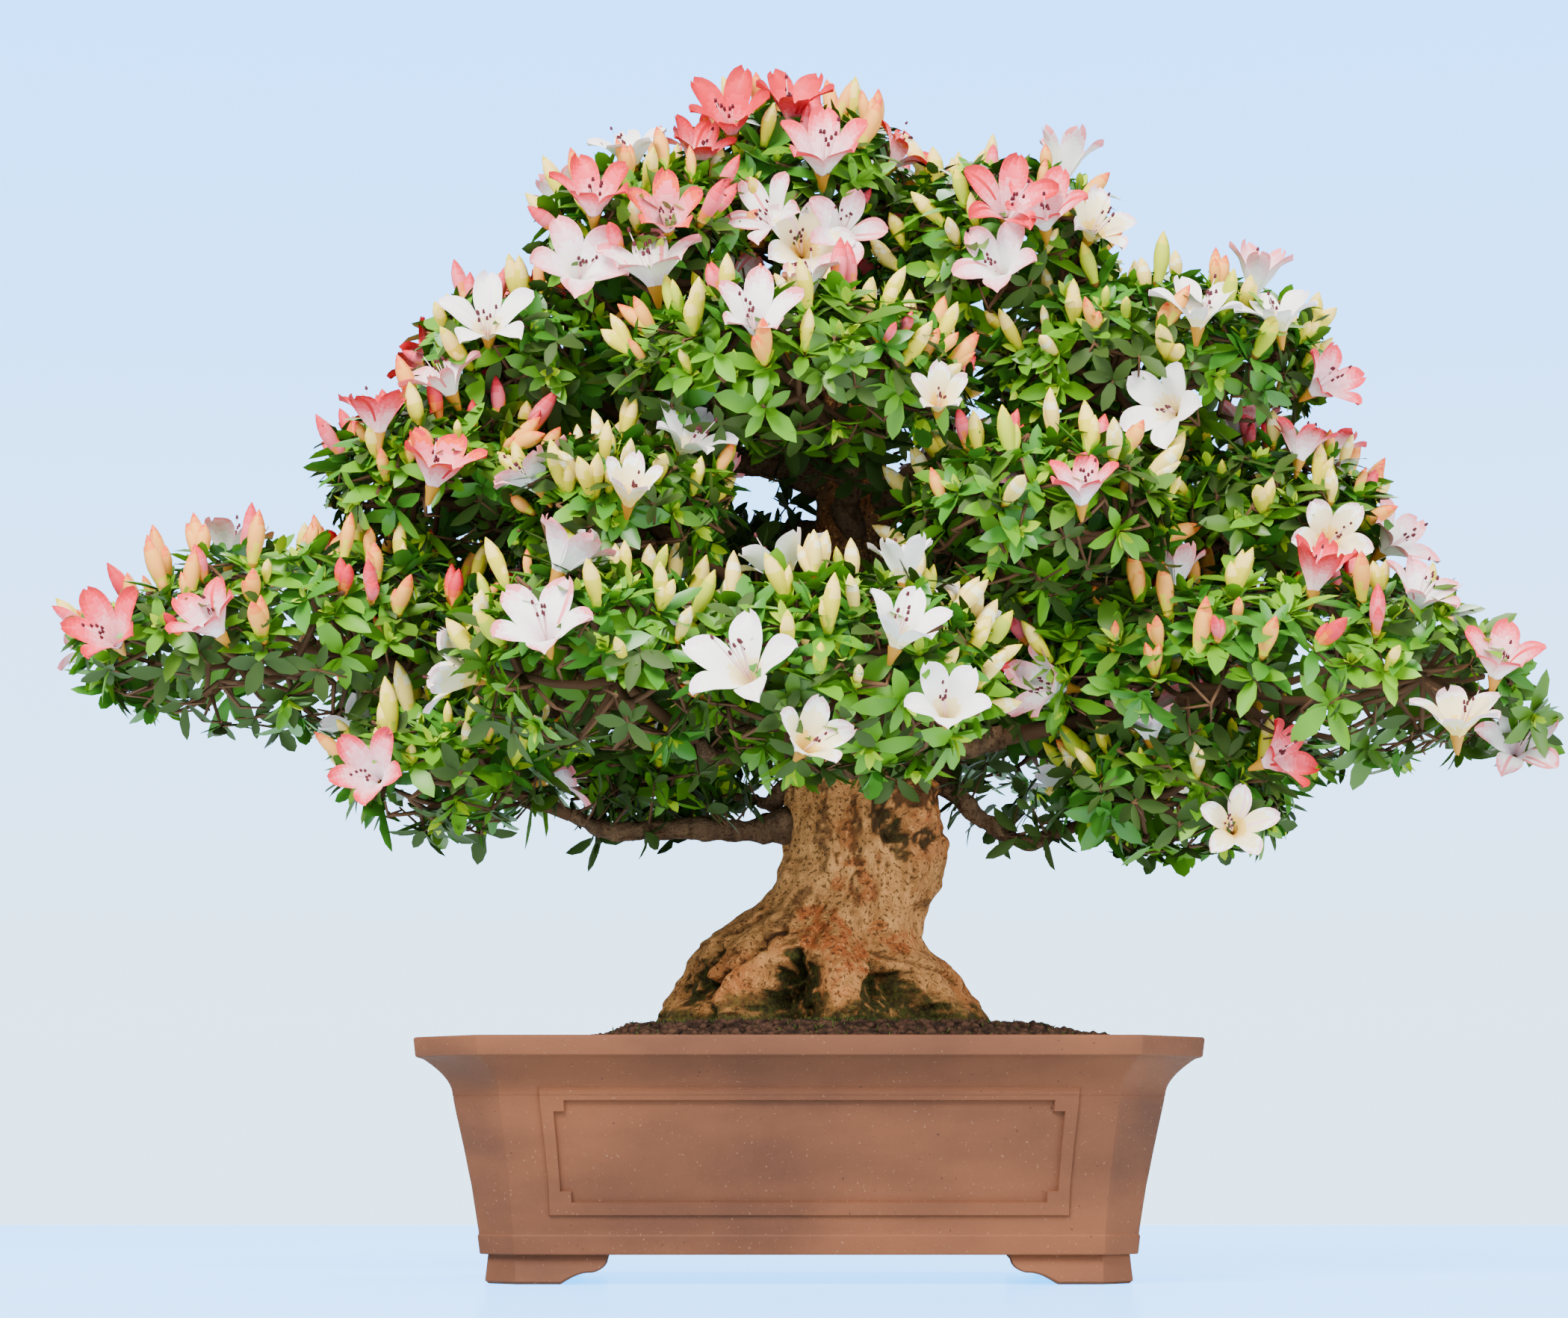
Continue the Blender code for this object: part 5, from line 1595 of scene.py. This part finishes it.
@dataclass(frozen=True)
class FlowerShape:
    """An open flower: five broad lobes that leave a short funnel, with stamens and a scaly cup."""

    radius: float = 0.032
    lobe_half_width: float = 0.01
    spread: float = 1.0  # 1 for wide open, less for one that is opening
    ruffle: float = 0.0012
    seed: int = 0
    rows: int = 15
    columns: int = 8
    lobes: int = 5

    def profile(self, shares: Array) -> tuple[Array, Array]:
        """Distance from the axis and height, at shares of the way from the throat to a lobe's tip.

        Both follow one cubic curve, whose end stands the higher the less the flower is open.
        """
        tip = self.radius * (0.3 + 0.7 * self.spread)
        across = (0.0018, 0.005, 0.42 * tip, tip)
        upward = (0.0, 0.013, 0.031 - 0.004 * self.spread, 0.049 - 0.022 * self.spread)
        weights = [(1 - shares) ** 3, 3 * shares * (1 - shares) ** 2, 3 * shares**2 * (1 - shares), shares**3]
        return sum(w * a for w, a in zip(weights, across)), sum(w * u for w, u in zip(weights, upward))

    def lobe(self, number: int, chance: Chance) -> Patch:
        """One lobe, from the throat to its tip and from side to side.

        Its half width is the funnel's sector up to the notch, then an oval's that is widest at two
        thirds. The sides turn up, the midrib lies low, and a wave runs along the edges.

        Args:
            number: Which lobe.
            chance: The flower's source of chance.

        Returns:
            The lobe with its steps of colour.
        """
        along = np.linspace(0, 0.992, self.rows + 1)[:, None]
        side = np.linspace(-1, 1, self.columns + 1)
        across, upward = self.profile(along)
        across = across * (1 + chance.uniform(-0.08, 0.1) * smooth_step(along, 0.4, 1.0))
        sector = across * math.tan(math.pi / self.lobes) * 1.03
        own = self.lobe_half_width * (0.55 + 0.45 * smooth_step(along, 0.24, 0.66))
        own = own * (1 - np.clip((along - 0.68) / 0.32, 0, 1) ** 2.3) ** 0.6
        half = side * (sector + (own - sector) * smooth_step(along, 0.24, 0.42))
        reach = across + (np.hypot(half, across) - across) * np.clip(along / 0.5, 0, 1)
        wave = self.ruffle * np.sin(9.0 * along + 2.0 * side + chance.uniform(0, 6)) * side**2
        rise = 0.003 * side**2 - 0.0008 * np.exp(-((side / 0.22) ** 2)) + 0.0009 * (number % 2)
        z = upward + (rise + wave) * smooth_step(along, 0.35, 0.9) + chance.uniform(-0.003, 0.004) * along**2
        turn = FULL_TURN * (number + chance.uniform(-0.05, 0.05)) / self.lobes
        bearing = np.arctan2(half, across) + turn
        points = np.stack((reach * np.cos(bearing), reach * np.sin(bearing), z), axis=-1)
        patch = Patch.grid(points, False, False)
        row, column = np.divmod(np.arange(self.rows * self.columns), self.columns)
        where, off_middle = (row + 0.5) / self.rows, np.abs((column + 0.5) / self.columns * 2 - 1)
        level = 0.9 * np.clip((where - 0.25) / 0.72, 0, 1) ** 1.2
        level += 0.34 * off_middle**2 * smooth_step(where, 0.35, 0.75)
        level += chance.uniform(-0.05, 0.05, self.columns)[column] + chance.uniform(-0.04, 0.04, len(row))
        streak = (chance.random(self.columns)[column] < 0.06) & (where > 0.4)
        level = np.clip(level * (PETAL_LEVELS - 1), 0, PETAL_LEVELS - 1).round().astype(int)
        patch.tints = np.where(streak, BloomPart.STREAK.value, level)
        return patch

    def others(self, chance: Chance) -> list[Patch]:
        """Thin filaments with dark anthers, a longer style, and the cup with its stalk."""
        count = 7
        turns = chance.uniform(-1.0, 1.0, count) + 0.6
        lean = chance.uniform(0.14, 0.36, count) * self.spread
        lengths = np.append(chance.uniform(0.024, 0.031, count - 1), 0.038)
        tips = np.stack((lean * lengths * np.cos(turns), lean * lengths * np.sin(turns), lengths), axis=1)
        feet = np.zeros((count, 3)) + np.array((0.0, 0.0, 0.003))
        filaments = twig_patch(feet, tips, (0.0005, 0.00035), 3, 0.0)
        anthers = twig_patch(tips - UP * 0.0003, tips + UP * 0.0022, (0.0012, 0.0008), 4, 0.0)
        turns, levels = bearings_round(6), np.array((-0.007, -0.004, 0.002, 0.0075))[:, None]
        radii = np.array((0.0011, 0.0022, 0.0036, 0.0054))[:, None]
        ring = np.stack((np.cos(turns), np.sin(turns)), axis=-1)
        teeth = levels + 0.0012 * (np.arange(6) % 2)
        cup = Patch.grid(np.concatenate((radii[..., None] * ring, teeth[..., None]), axis=-1), caps=False)
        patches = (filaments, anthers, cup)
        for patch, part in zip(patches, (BloomPart.FILAMENT, BloomPart.ANTHER, BloomPart.CUP)):
            patch.tints[:] = part.value
        return list(patches)

    def patch(self) -> Patch:
        """The whole flower, its axis along Z and its throat at the origin."""
        chance = np.random.default_rng([SEED, 300 + self.seed])
        lobes = [self.lobe(number, chance) for number in range(self.lobes)]
        return Patch.join(lobes + self.others(chance))


@dataclass(frozen=True)
class BudShape:
    """A closed bud: a blunt oval drawn in to a scaly foot, its rolled petals as slanting streaks."""

    length: float = 0.035
    radius: float = 0.0054
    bend: float = 0.1
    sides: int = 8

    def patch(self) -> Patch:
        """The bud along Z: rings whose radii are given along its height, bent over a little."""
        shares = np.array((0.0, 0.07, 0.15, 0.2, 0.34, 0.5, 0.64, 0.78, 0.9, 1.0))
        radii = self.radius * np.array((0.22, 0.46, 0.62, 0.58, 0.8, 0.97, 0.98, 0.8, 0.46, 0.06))
        patch = Patch.turned(radii, self.length * shares, self.sides, 0.6)
        patch.points[:, 0] += self.bend * patch.points[:, 2] ** 2 / self.length
        row, column = np.divmod(np.arange(BUD_LEVELS * self.sides), self.sides)
        slanting = (column + row // 3) % 4 == 0
        ends = np.repeat((0, BUD_LEVELS - 1), self.sides)
        patch.tints = np.concatenate((np.maximum(row - slanting * (row > 2), 0), ends))
        return patch


SEEN_BLOOMS = {  # by their colouring: the pixel across and down, the width in millimetres, how open
    BloomKind.CORAL: (
        (1062, 126, 60, 0.8), (976, 147, 64, 0.8),
    ),
    BloomKind.CORAL_RIM: (
        (939, 184, 52, 0.8), (794, 252, 60, 0.8), (1349, 262, 62, 0.9), (504, 540, 56, 0.8),
        (142, 840, 60, 0.8), (1726, 1008, 54, 0.8),
    ),
    BloomKind.PINK_RIM: (
        (1102, 199, 68, 0.85), (1396, 273, 60, 0.8), (1784, 504, 54, 0.8), (1747, 577, 50, 0.8),
        (1448, 635, 52, 0.8), (273, 819, 56, 0.8), (493, 1029, 56, 0.8), (2010, 871, 56, 0.8),
    ),
    BloomKind.WHITE: (
        (840, 178, 52, 1), (651, 420, 64, 1), (1553, 540, 58, 1), (1606, 399, 60, 1), (1711, 404, 54, 1),
        (992, 887, 70, 1), (1212, 829, 58, 0.8), (1270, 934, 56, 0.85),
    ),
    BloomKind.SALMON: (
        (892, 278, 56, 0.8), (588, 614, 62, 0.8),
    ),
    BloomKind.BLUSH: (
        (777, 346, 64, 1), (1133, 299, 54, 1), (1333, 341, 56, 1), (588, 493, 58, 1), (1879, 714, 58, 1),
        (1910, 777, 56, 1),
    ),
    BloomKind.STREAKED: (
        (871, 346, 68, 1), (1018, 278, 56, 1), (1013, 415, 60, 0.85), (724, 829, 62, 1), (2036, 987, 58, 1),
    ),
    BloomKind.CREAM: (
        (1081, 320, 60, 1), (1475, 289, 56, 1), (845, 640, 50, 0.5), (1259, 520, 48, 0.5), (1784, 714, 52, 1),
        (1091, 981, 52, 0.8), (1658, 1097, 50, 1), (1952, 945, 58, 1),
    ),
}


@dataclass
class Studio:
    """The camera, the light and the pale table that the pot stands on."""

    camera_place: Triple = (-0.016, -2.395, 0.075)
    camera_pitch: float = 8.2
    lens: float = 80.6
    sensor: float = 36.0
    table_far_edge: float = 2.1
    wall_low: tuple = (2.3, 3.3, 4.2)
    wall_high: tuple = (0.75, 2.8, 6.6)
    ambient: tuple = (0.82, 0.9, 1.0)

    def sight(self, pixel: tuple[int, int]) -> Array:
        """The direction from the camera through a pixel.

        Args:
            pixel: Across and down in the photo.

        Returns:
            A unit vector.
        """
        scale = self.sensor / self.lens / PHOTO_WIDTH
        across, up = (pixel[0] - PHOTO_WIDTH / 2) * scale, (PHOTO_HEIGHT / 2 - pixel[1]) * scale
        pitch = math.radians(self.camera_pitch)
        ahead = np.array((0.0, math.cos(pitch), math.sin(pitch)))
        upright = np.array((0.0, -math.sin(pitch), math.cos(pitch)))
        return unit(ahead + across * np.array((1.0, 0.0, 0.0)) + up * upright)

    def camera(self) -> None:
        """Stand the camera where the photo was taken from."""
        data = bpy.data.cameras.new("camera")
        data.lens, data.sensor_width = self.lens, self.sensor
        thing = linked(bpy.data.objects.new("camera", data))
        thing.location = self.camera_place
        thing.rotation_euler = (math.radians(90 + self.camera_pitch), 0.0, 0.0)
        bpy.context.scene.camera = thing

    def light(self, name: str, place: tuple, size: float, power: float, colour: tuple) -> None:
        """Add one soft light that looks at the crown's middle."""
        data = bpy.data.lights.new(name, "AREA")
        data.shape, data.size, data.energy, data.color = "DISK", size, power, colour
        thing = linked(bpy.data.objects.new(name, data))
        thing.location = place
        thing.rotation_euler = (Vector((0, 0, 0.42)) - Vector(place)).to_track_quat("-Z", "Y").to_euler()

    def room(self) -> None:
        """Fill the world with pale, slightly blue light."""
        world = bpy.data.worlds.new("room")
        world.use_nodes = True
        board = Board(world.node_tree)
        shader = world.node_tree.nodes["Background"]
        height = board.add("ShaderNodeTexCoord").outputs["Generated"]
        height = board.add("ShaderNodeSeparateXYZ", {0: height}).outputs["Z"]
        wall = board.mix(board.spread(height, 0.0, 0.34), self.wall_low, self.wall_high)
        seen = board.add("ShaderNodeLightPath").outputs["Is Camera Ray"]
        board.give(shader, {"Color": board.mix(seen, self.ambient, wall)})
        bpy.context.scene.world = world

    def table(self) -> None:
        """Lay the pale, glossy table: a slab with an eased far edge."""
        edge = self.table_far_edge
        top = [(-6.0, 0.0), (edge - 0.01, 0.0), (edge - 0.003, -0.003), (edge, -0.01)]
        y, z = np.array((*top, (edge, -0.05), (-6.0, -0.05))).T
        ends = [np.stack((np.full(len(y), x), y, z), axis=-1) for x in (6.0, -6.0)]
        thing = Patch.grid(np.array(ends)).to_object("table", [TableFinish().material()])
        thing.data.set_sharp_from_angle(angle=math.radians(20))

    def build(self) -> None:
        """Set up the table, the camera and the lights."""
        self.table()
        self.camera()
        self.room()
        self.light("key", (-1.3, -2.7, 2.9), 2.0, 400.0, (1.0, 0.97, 0.92))
        self.light("fill", (2.8, -2.6, 1.3), 2.6, 130.0, (0.95, 0.98, 1.0))
        self.light("back", (0.6, 2.6, 3.0), 2.4, 170.0, (1.0, 1.0, 1.0))


def pick_kinds(shares: dict, count: int, chance: Chance) -> list:
    """Deal out kinds by their shares."""
    kinds, weights = list(shares), np.array(list(shares.values()), float)
    return [kinds[number] for number in chance.choice(len(kinds), count, p=weights / weights.sum())]


@dataclass(frozen=True)
class Flower:
    """An open flower: its throat, the way it faces, its colouring, its width and how open it is."""

    place: Array
    facing: Array
    kind: BloomKind
    width: float
    spread: float


@dataclass
class Blossom:
    """The open flowers: those that the photo shows, and more like them on the sides that it doesn't."""

    crown: Crown
    whorls: Whorls
    studio: Studio
    unseen: int = 95
    spacing: float = 0.058
    seat: float = 0.027  # how far a seen flower's throat lies behind its rim's middle
    lobe_half_widths: tuple = (0.0089, 0.0098, 0.0084, 0.0102, 0.0092, 0.0087)  # of the shapes, by turns
    openings: tuple = (1.0, 0.8, 0.6)
    full_width: float = 0.058  # of a shape as it is drawn
    search: tuple = (1.8, 3.2, 1400)  # nearest and farthest from the camera, and how many steps
    aim: tuple = (0.7, 0.9, 0.55, 0.34)  # how much a flower faces outwards, up, to the front, at random
    flowers: list = field(default_factory=list)

    def surface_point(self, pixel: tuple[int, int]) -> tuple[Array, int]:
        """Where the line of sight first meets a mass, or passes one most closely.

        Args:
            pixel: Across and down in the photo.

        Returns:
            The point on the mass's surface, and its number.
        """
        steps = np.linspace(*self.search)[:, None]
        points = np.array(self.studio.camera_place) + steps * self.studio.sight(pixel)
        nearness = self.crown.nearness(points)
        closest = nearness.min(axis=1)
        inside = np.flatnonzero(closest <= 1.0)
        where = inside[0] if len(inside) else int(closest.argmin())
        index = int(nearness[where].argmin())
        centre = self.crown.centres[index]
        share = max(1.0, float(nearness[where, index]) / 1.02)
        return centre + (points[where] - centre) / share, index

    def arrange(self) -> Array:
        """Settle where every flower stands.

        Returns:
            The middles of their throats.
        """
        chance = np.random.default_rng([SEED, 400])
        for kind, blooms in SEEN_BLOOMS.items():
            for *pixel, width, spread in blooms:
                point, index = self.surface_point(pixel)
                outwards = self.crown.outwards(index, point[None])[0]
                own, up, front, scatter = self.aim
                facing = unit(own * outwards + up * UP + front * FRONT + chance.normal(0, scatter, 3))
                self.flowers.append(Flower(point - facing * self.seat, facing, kind, width / 1000, spread))
        seen = len(self.flowers)
        outer = np.flatnonzero(~self.whorls.inner & (self.whorls.facing[:, 2] > 0.05))
        hidden = [i for i in outer if self.whorls.facing[i, 1] > -0.55 or self.whorls.places[i, 1] > -0.02]
        for number in chance.permutation(hidden):
            place, facing = self.whorls.places[number], self.whorls.facing[number]
            nearest = min(np.linalg.norm(flower.place - place) for flower in self.flowers)
            if len(self.flowers) < seen + self.unseen and nearest > self.spacing:
                kind = pick_kinds(MASSES[self.whorls.masses[number]].mood.value[1], 1, chance)[0]
                width, spread = chance.uniform(0.05, 0.062), chance.choice(self.openings)
                self.flowers.append(Flower(place - 0.004 * facing, facing, kind, width, spread))
        return np.array([flower.place for flower in self.flowers])

    def build(self) -> None:
        """Make the flowers in two pieces, each flower by the shape that is open as far as it is."""
        chance = np.random.default_rng([SEED, 401])
        places, facing, widths, spreads = (
            np.array([getattr(flower, name) for flower in self.flowers])
            for name in ("place", "facing", "width", "spread")
        )
        tints = np.array([flower.kind.tints() for flower in self.flowers])
        opening = np.abs(spreads[:, None] - self.openings).argmin(axis=1)
        patches = []
        for number, half_width in enumerate(self.lobe_half_widths):
            chosen = np.flatnonzero(opening == number % 3)[number // 3 :: 2]
            template = FlowerShape(lobe_half_width=half_width, spread=self.openings[number % 3], seed=number)
            frames = frames_along(facing[chosen], chance.uniform(0, FULL_TURN, len(chosen)))
            frames *= (widths[chosen] / self.full_width)[:, None, None]
            patches.append(template.patch().stamp(places[chosen], frames, tints[chosen]))
        for number in (1, 2):
            blossom = Patch.join(patches[3 * number - 3 : 3 * number])
            blossom.to_piece(f"blossom_{number}", TINTS, "blossom")


@dataclass
class Buds:
    """The closed buds, one to three together at some of the twigs' tips."""

    whorls: Whorls
    bloom_places: Array
    share: float = 0.52
    clearance: float = 0.018
    together: tuple = (0.45, 0.35, 0.2)  # the shares of tips with one, two and three buds
    leans: tuple = (0.05, 0.34)  # of those that stand together
    sizes: tuple = (0.55, 1.12)
    shapes: tuple = ((), (0.027, 0.005, 0.04), (0.04, 0.0056))

    def build(self) -> None:
        """Make all the buds in two pieces."""
        chance = np.random.default_rng([SEED, 500])
        away = self.whorls.away_from(self.bloom_places)
        able = ~self.whorls.inner & (away > self.clearance) & (self.whorls.facing[:, 2] > 0.0)
        chosen = np.flatnonzero(able & (chance.random(len(away)) < self.share))
        counts = chance.choice((1, 2, 3), len(chosen), p=self.together)
        owner = np.repeat(chosen, counts)
        kinds = [pick_kinds(MASSES[self.whorls.masses[i]].mood.value[0], 1, chance)[0] for i in chosen]
        tints = np.repeat(np.array([kind.tints() for kind in kinds]), counts, axis=0)
        axes = self.whorls.facing[owner]
        lean = chance.uniform(*self.leans, len(owner))[:, None] * np.repeat(counts > 1, counts)[:, None]
        along = unit(axes + 0.25 * UP + lean * square_to(axes, chance.uniform(0, FULL_TURN, len(owner))))
        frames = frames_along(along, chance.uniform(0, FULL_TURN, len(owner)))
        frames *= chance.uniform(*self.sizes, len(owner))[:, None, None]
        shapes = [BudShape(*measures).patch() for measures in self.shapes]
        which = chance.integers(len(shapes), size=len(owner))
        origins = self.whorls.places[owner]
        for piece, some in enumerate(np.array_split(np.arange(len(owner)), 2), 1):
            picks = [some[which[some] == number] for number in range(len(shapes))]
            patches = [
                shape.stamp(origins[pick], frames[pick], tints[pick]) for shape, pick in zip(shapes, picks)
            ]
            Patch.join(patches).to_piece(f"buds_{piece}", TINTS, "blossom")


@dataclass
class RootBall:
    """The mounded root ball: granules over a rough bed, with moss where the roots go in."""

    pot: Pot
    line: TrunkLine
    edge_inset: float = 0.0215
    edge_height: float = 0.148
    shoulder: tuple = (0.168, 0.13, 0.157, 0.03)  # half length, half depth, height, shift to the right
    plateau: tuple = (0.133, 0.112, 0.166, 0.017)
    corner_cut: float = 0.045
    rings: int = 60
    columns: int = 200
    granules: int = 5200
    moss_tufts: int = 2600
    margin: float = 0.004  # between the outermost granules and the edge

    @property
    def edge(self) -> Triple:
        """Half the length and depth of the soil's edge, and its corners' cut."""
        length, depth = self.pot.rim_half_length - self.edge_inset, self.pot.rim_half_depth - self.edge_inset
        return length, depth, self.pot.rim_corner_cut - 0.01

    def outline(self, length: float, depth: float, cut: float, turns: Array) -> Array:
        """How far a rectangle with cut corners reaches at each bearing: to its nearest wall or cut."""
        x, y = np.abs(np.cos(turns)), np.abs(np.sin(turns))
        walls = np.minimum(length / np.maximum(x, 1e-6), depth / np.maximum(y, 1e-6))
        return np.minimum(walls, (length + depth - cut) / (x + y))

    def beyond(self, x: Array, y: Array, size: Triple, shift: float) -> Array:
        """How far points lie beyond an outline shifted to the right, less than nought inside it."""
        turns, reach = np.arctan2(y, x - shift), np.hypot(x - shift, y)
        return reach - self.outline(*size, turns)

    def height(self, x: Array, y: Array) -> Array:
        """The bed's height, a straight slope between the outlines of plateau, shoulder and edge.

        A point's share of the way from one outline to the next is its distance from the first over
        the sum of both distances.
        """
        top = self.beyond(x, y, (*self.plateau[:2], self.corner_cut), self.plateau[3])
        middle = self.beyond(x, y, (*self.shoulder[:2], self.corner_cut), self.shoulder[3])
        edge = self.beyond(x, y, self.edge, 0.0)
        past, left = np.clip((top, middle), 0, None), np.clip((-middle, -edge), 1e-9, None)
        inner, outer = past / (past + left)
        slope = self.plateau[2] + (self.shoulder[2] - self.plateau[2]) * inner
        return slope + (self.edge_height - self.shoulder[2]) * outer

    def bed(self) -> Patch:
        """The rough bed under the granules, closed below."""
        turns = bearings_round(self.columns)
        reach = self.outline(*self.edge, turns) * np.linspace(1, 0.02, self.rings)[:, None]
        x, y = reach * np.cos(turns), reach * np.sin(turns)
        points = np.stack((x, y, self.height(x, y)), axis=-1)
        points[..., 2] += 0.0016 * lattice_noise(points, 0.01, SEED + 50)
        below = points[0] * np.array((0.93, 0.93, 0.0)) + UP * 0.1
        return Patch.grid(np.concatenate((below[None], points)))

    def scatter(self, count: int, near: float, chance: Chance) -> Array:
        """Places on the bed outside the trunk.

        Args:
            count: How many.
            near: 0 for all over, up to 1 for close to the trunk.
            chance: The source of chance.

        Returns:
            The places.
        """
        turns = chance.uniform(0, FULL_TURN, count)
        length, depth, cut = self.edge
        edge = self.outline(length - self.margin, depth - self.margin, cut, turns)
        wood = self.line.radius(np.degrees(turns) % 360, np.full(count, self.line.foot + 0.004)) * 0.92
        share = chance.random(count) ** (1 + 3 * near)
        reach = np.sqrt(wood**2 + (edge**2 - wood**2) * share)
        middle = self.line.centre(np.array(self.line.foot))[0] * 0.8
        x, y = middle + reach * np.cos(turns), reach * np.sin(turns)
        x = np.clip(x, self.margin - length, length - self.margin)
        return np.stack((x, y, self.height(x, y)), axis=-1)

    def strew(self, shape: Patch, places: Array, size: tuple, tall: float, chance: Chance) -> Patch:
        """Lay copies of a small shape at some places, each turned and scaled at random."""
        count = len(places)
        upright = unit(UP + chance.normal(0, 0.45, (count, 3)))
        frames = frames_along(upright, chance.uniform(0, FULL_TURN, count))
        frames *= chance.uniform(*size, (count, 1, 1))
        frames[:, 1] *= chance.uniform(0.7, 1.1, (count, 1))
        frames[:, 2] *= tall
        return shape.stamp(places, frames)

    def build(self) -> None:
        """Make the bed, its granules as squashed six-sided lumps, and the moss as pointed blades."""
        chance = np.random.default_rng([SEED, 600])
        earth = GroundFinish("earth", (0.016, 0.009, 0.006), (0.045, 0.024, 0.015))
        granule = GroundFinish("granules", (0.018, 0.01, 0.007), (0.075, 0.036, 0.022), 0.006)
        moss = GroundFinish("moss", (0.018, 0.032, 0.008), (0.075, 0.11, 0.022), 0.01)
        self.bed().to_piece("root_ball_bed", [earth], "soil", "soil")
        levels = np.array((-0.75, 0.0, 0.75))
        lump = Patch.turned(np.sqrt(1 - levels**2), levels, 6)
        lumps = self.strew(lump, self.scatter(self.granules, 0.0, chance), (0.002, 0.0042), 0.75, chance)
        lumps.to_piece("root_ball_granules", [granule], "soil")
        blade = Patch.turned(np.array((0.34, 0.22)), np.array((0.0, 0.6)), 3)
        blade.points[-1, 2] = 1.0
        tufts = self.strew(blade, self.scatter(self.moss_tufts, 1.0, chance), (0.0012, 0.0026), 2.2, chance)
        tufts.to_piece("root_ball_moss", [moss], "soil")


def clear_startup() -> None:
    """Remove what Blender's startup file holds."""
    for thing in list(bpy.data.objects):
        bpy.data.objects.remove(thing, do_unlink=True)


def main() -> None:
    """Build every sub-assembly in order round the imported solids."""
    logging.basicConfig(level=logging.INFO, format="%(message)s")
    clear_startup()
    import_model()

    studio = Studio()
    studio.build()
    pot = Pot()
    pot.build()
    PotFeet().build()
    line = TrunkLine()
    RootBall(pot, line).build()
    Trunk(line).build()
    crown = Crown(line)
    Boughs(crown).build()
    growth = Growth(crown)
    whorls = growth.grow()
    growth.build()
    LOG.info("%d whorls", len(whorls.places))
    blossom = Blossom(crown, whorls, studio)
    bloom_places = blossom.arrange()
    blossom.build()
    Buds(whorls, bloom_places).build()
    Leaves(whorls, bloom_places).build()


if __name__ == "__main__":
    main()
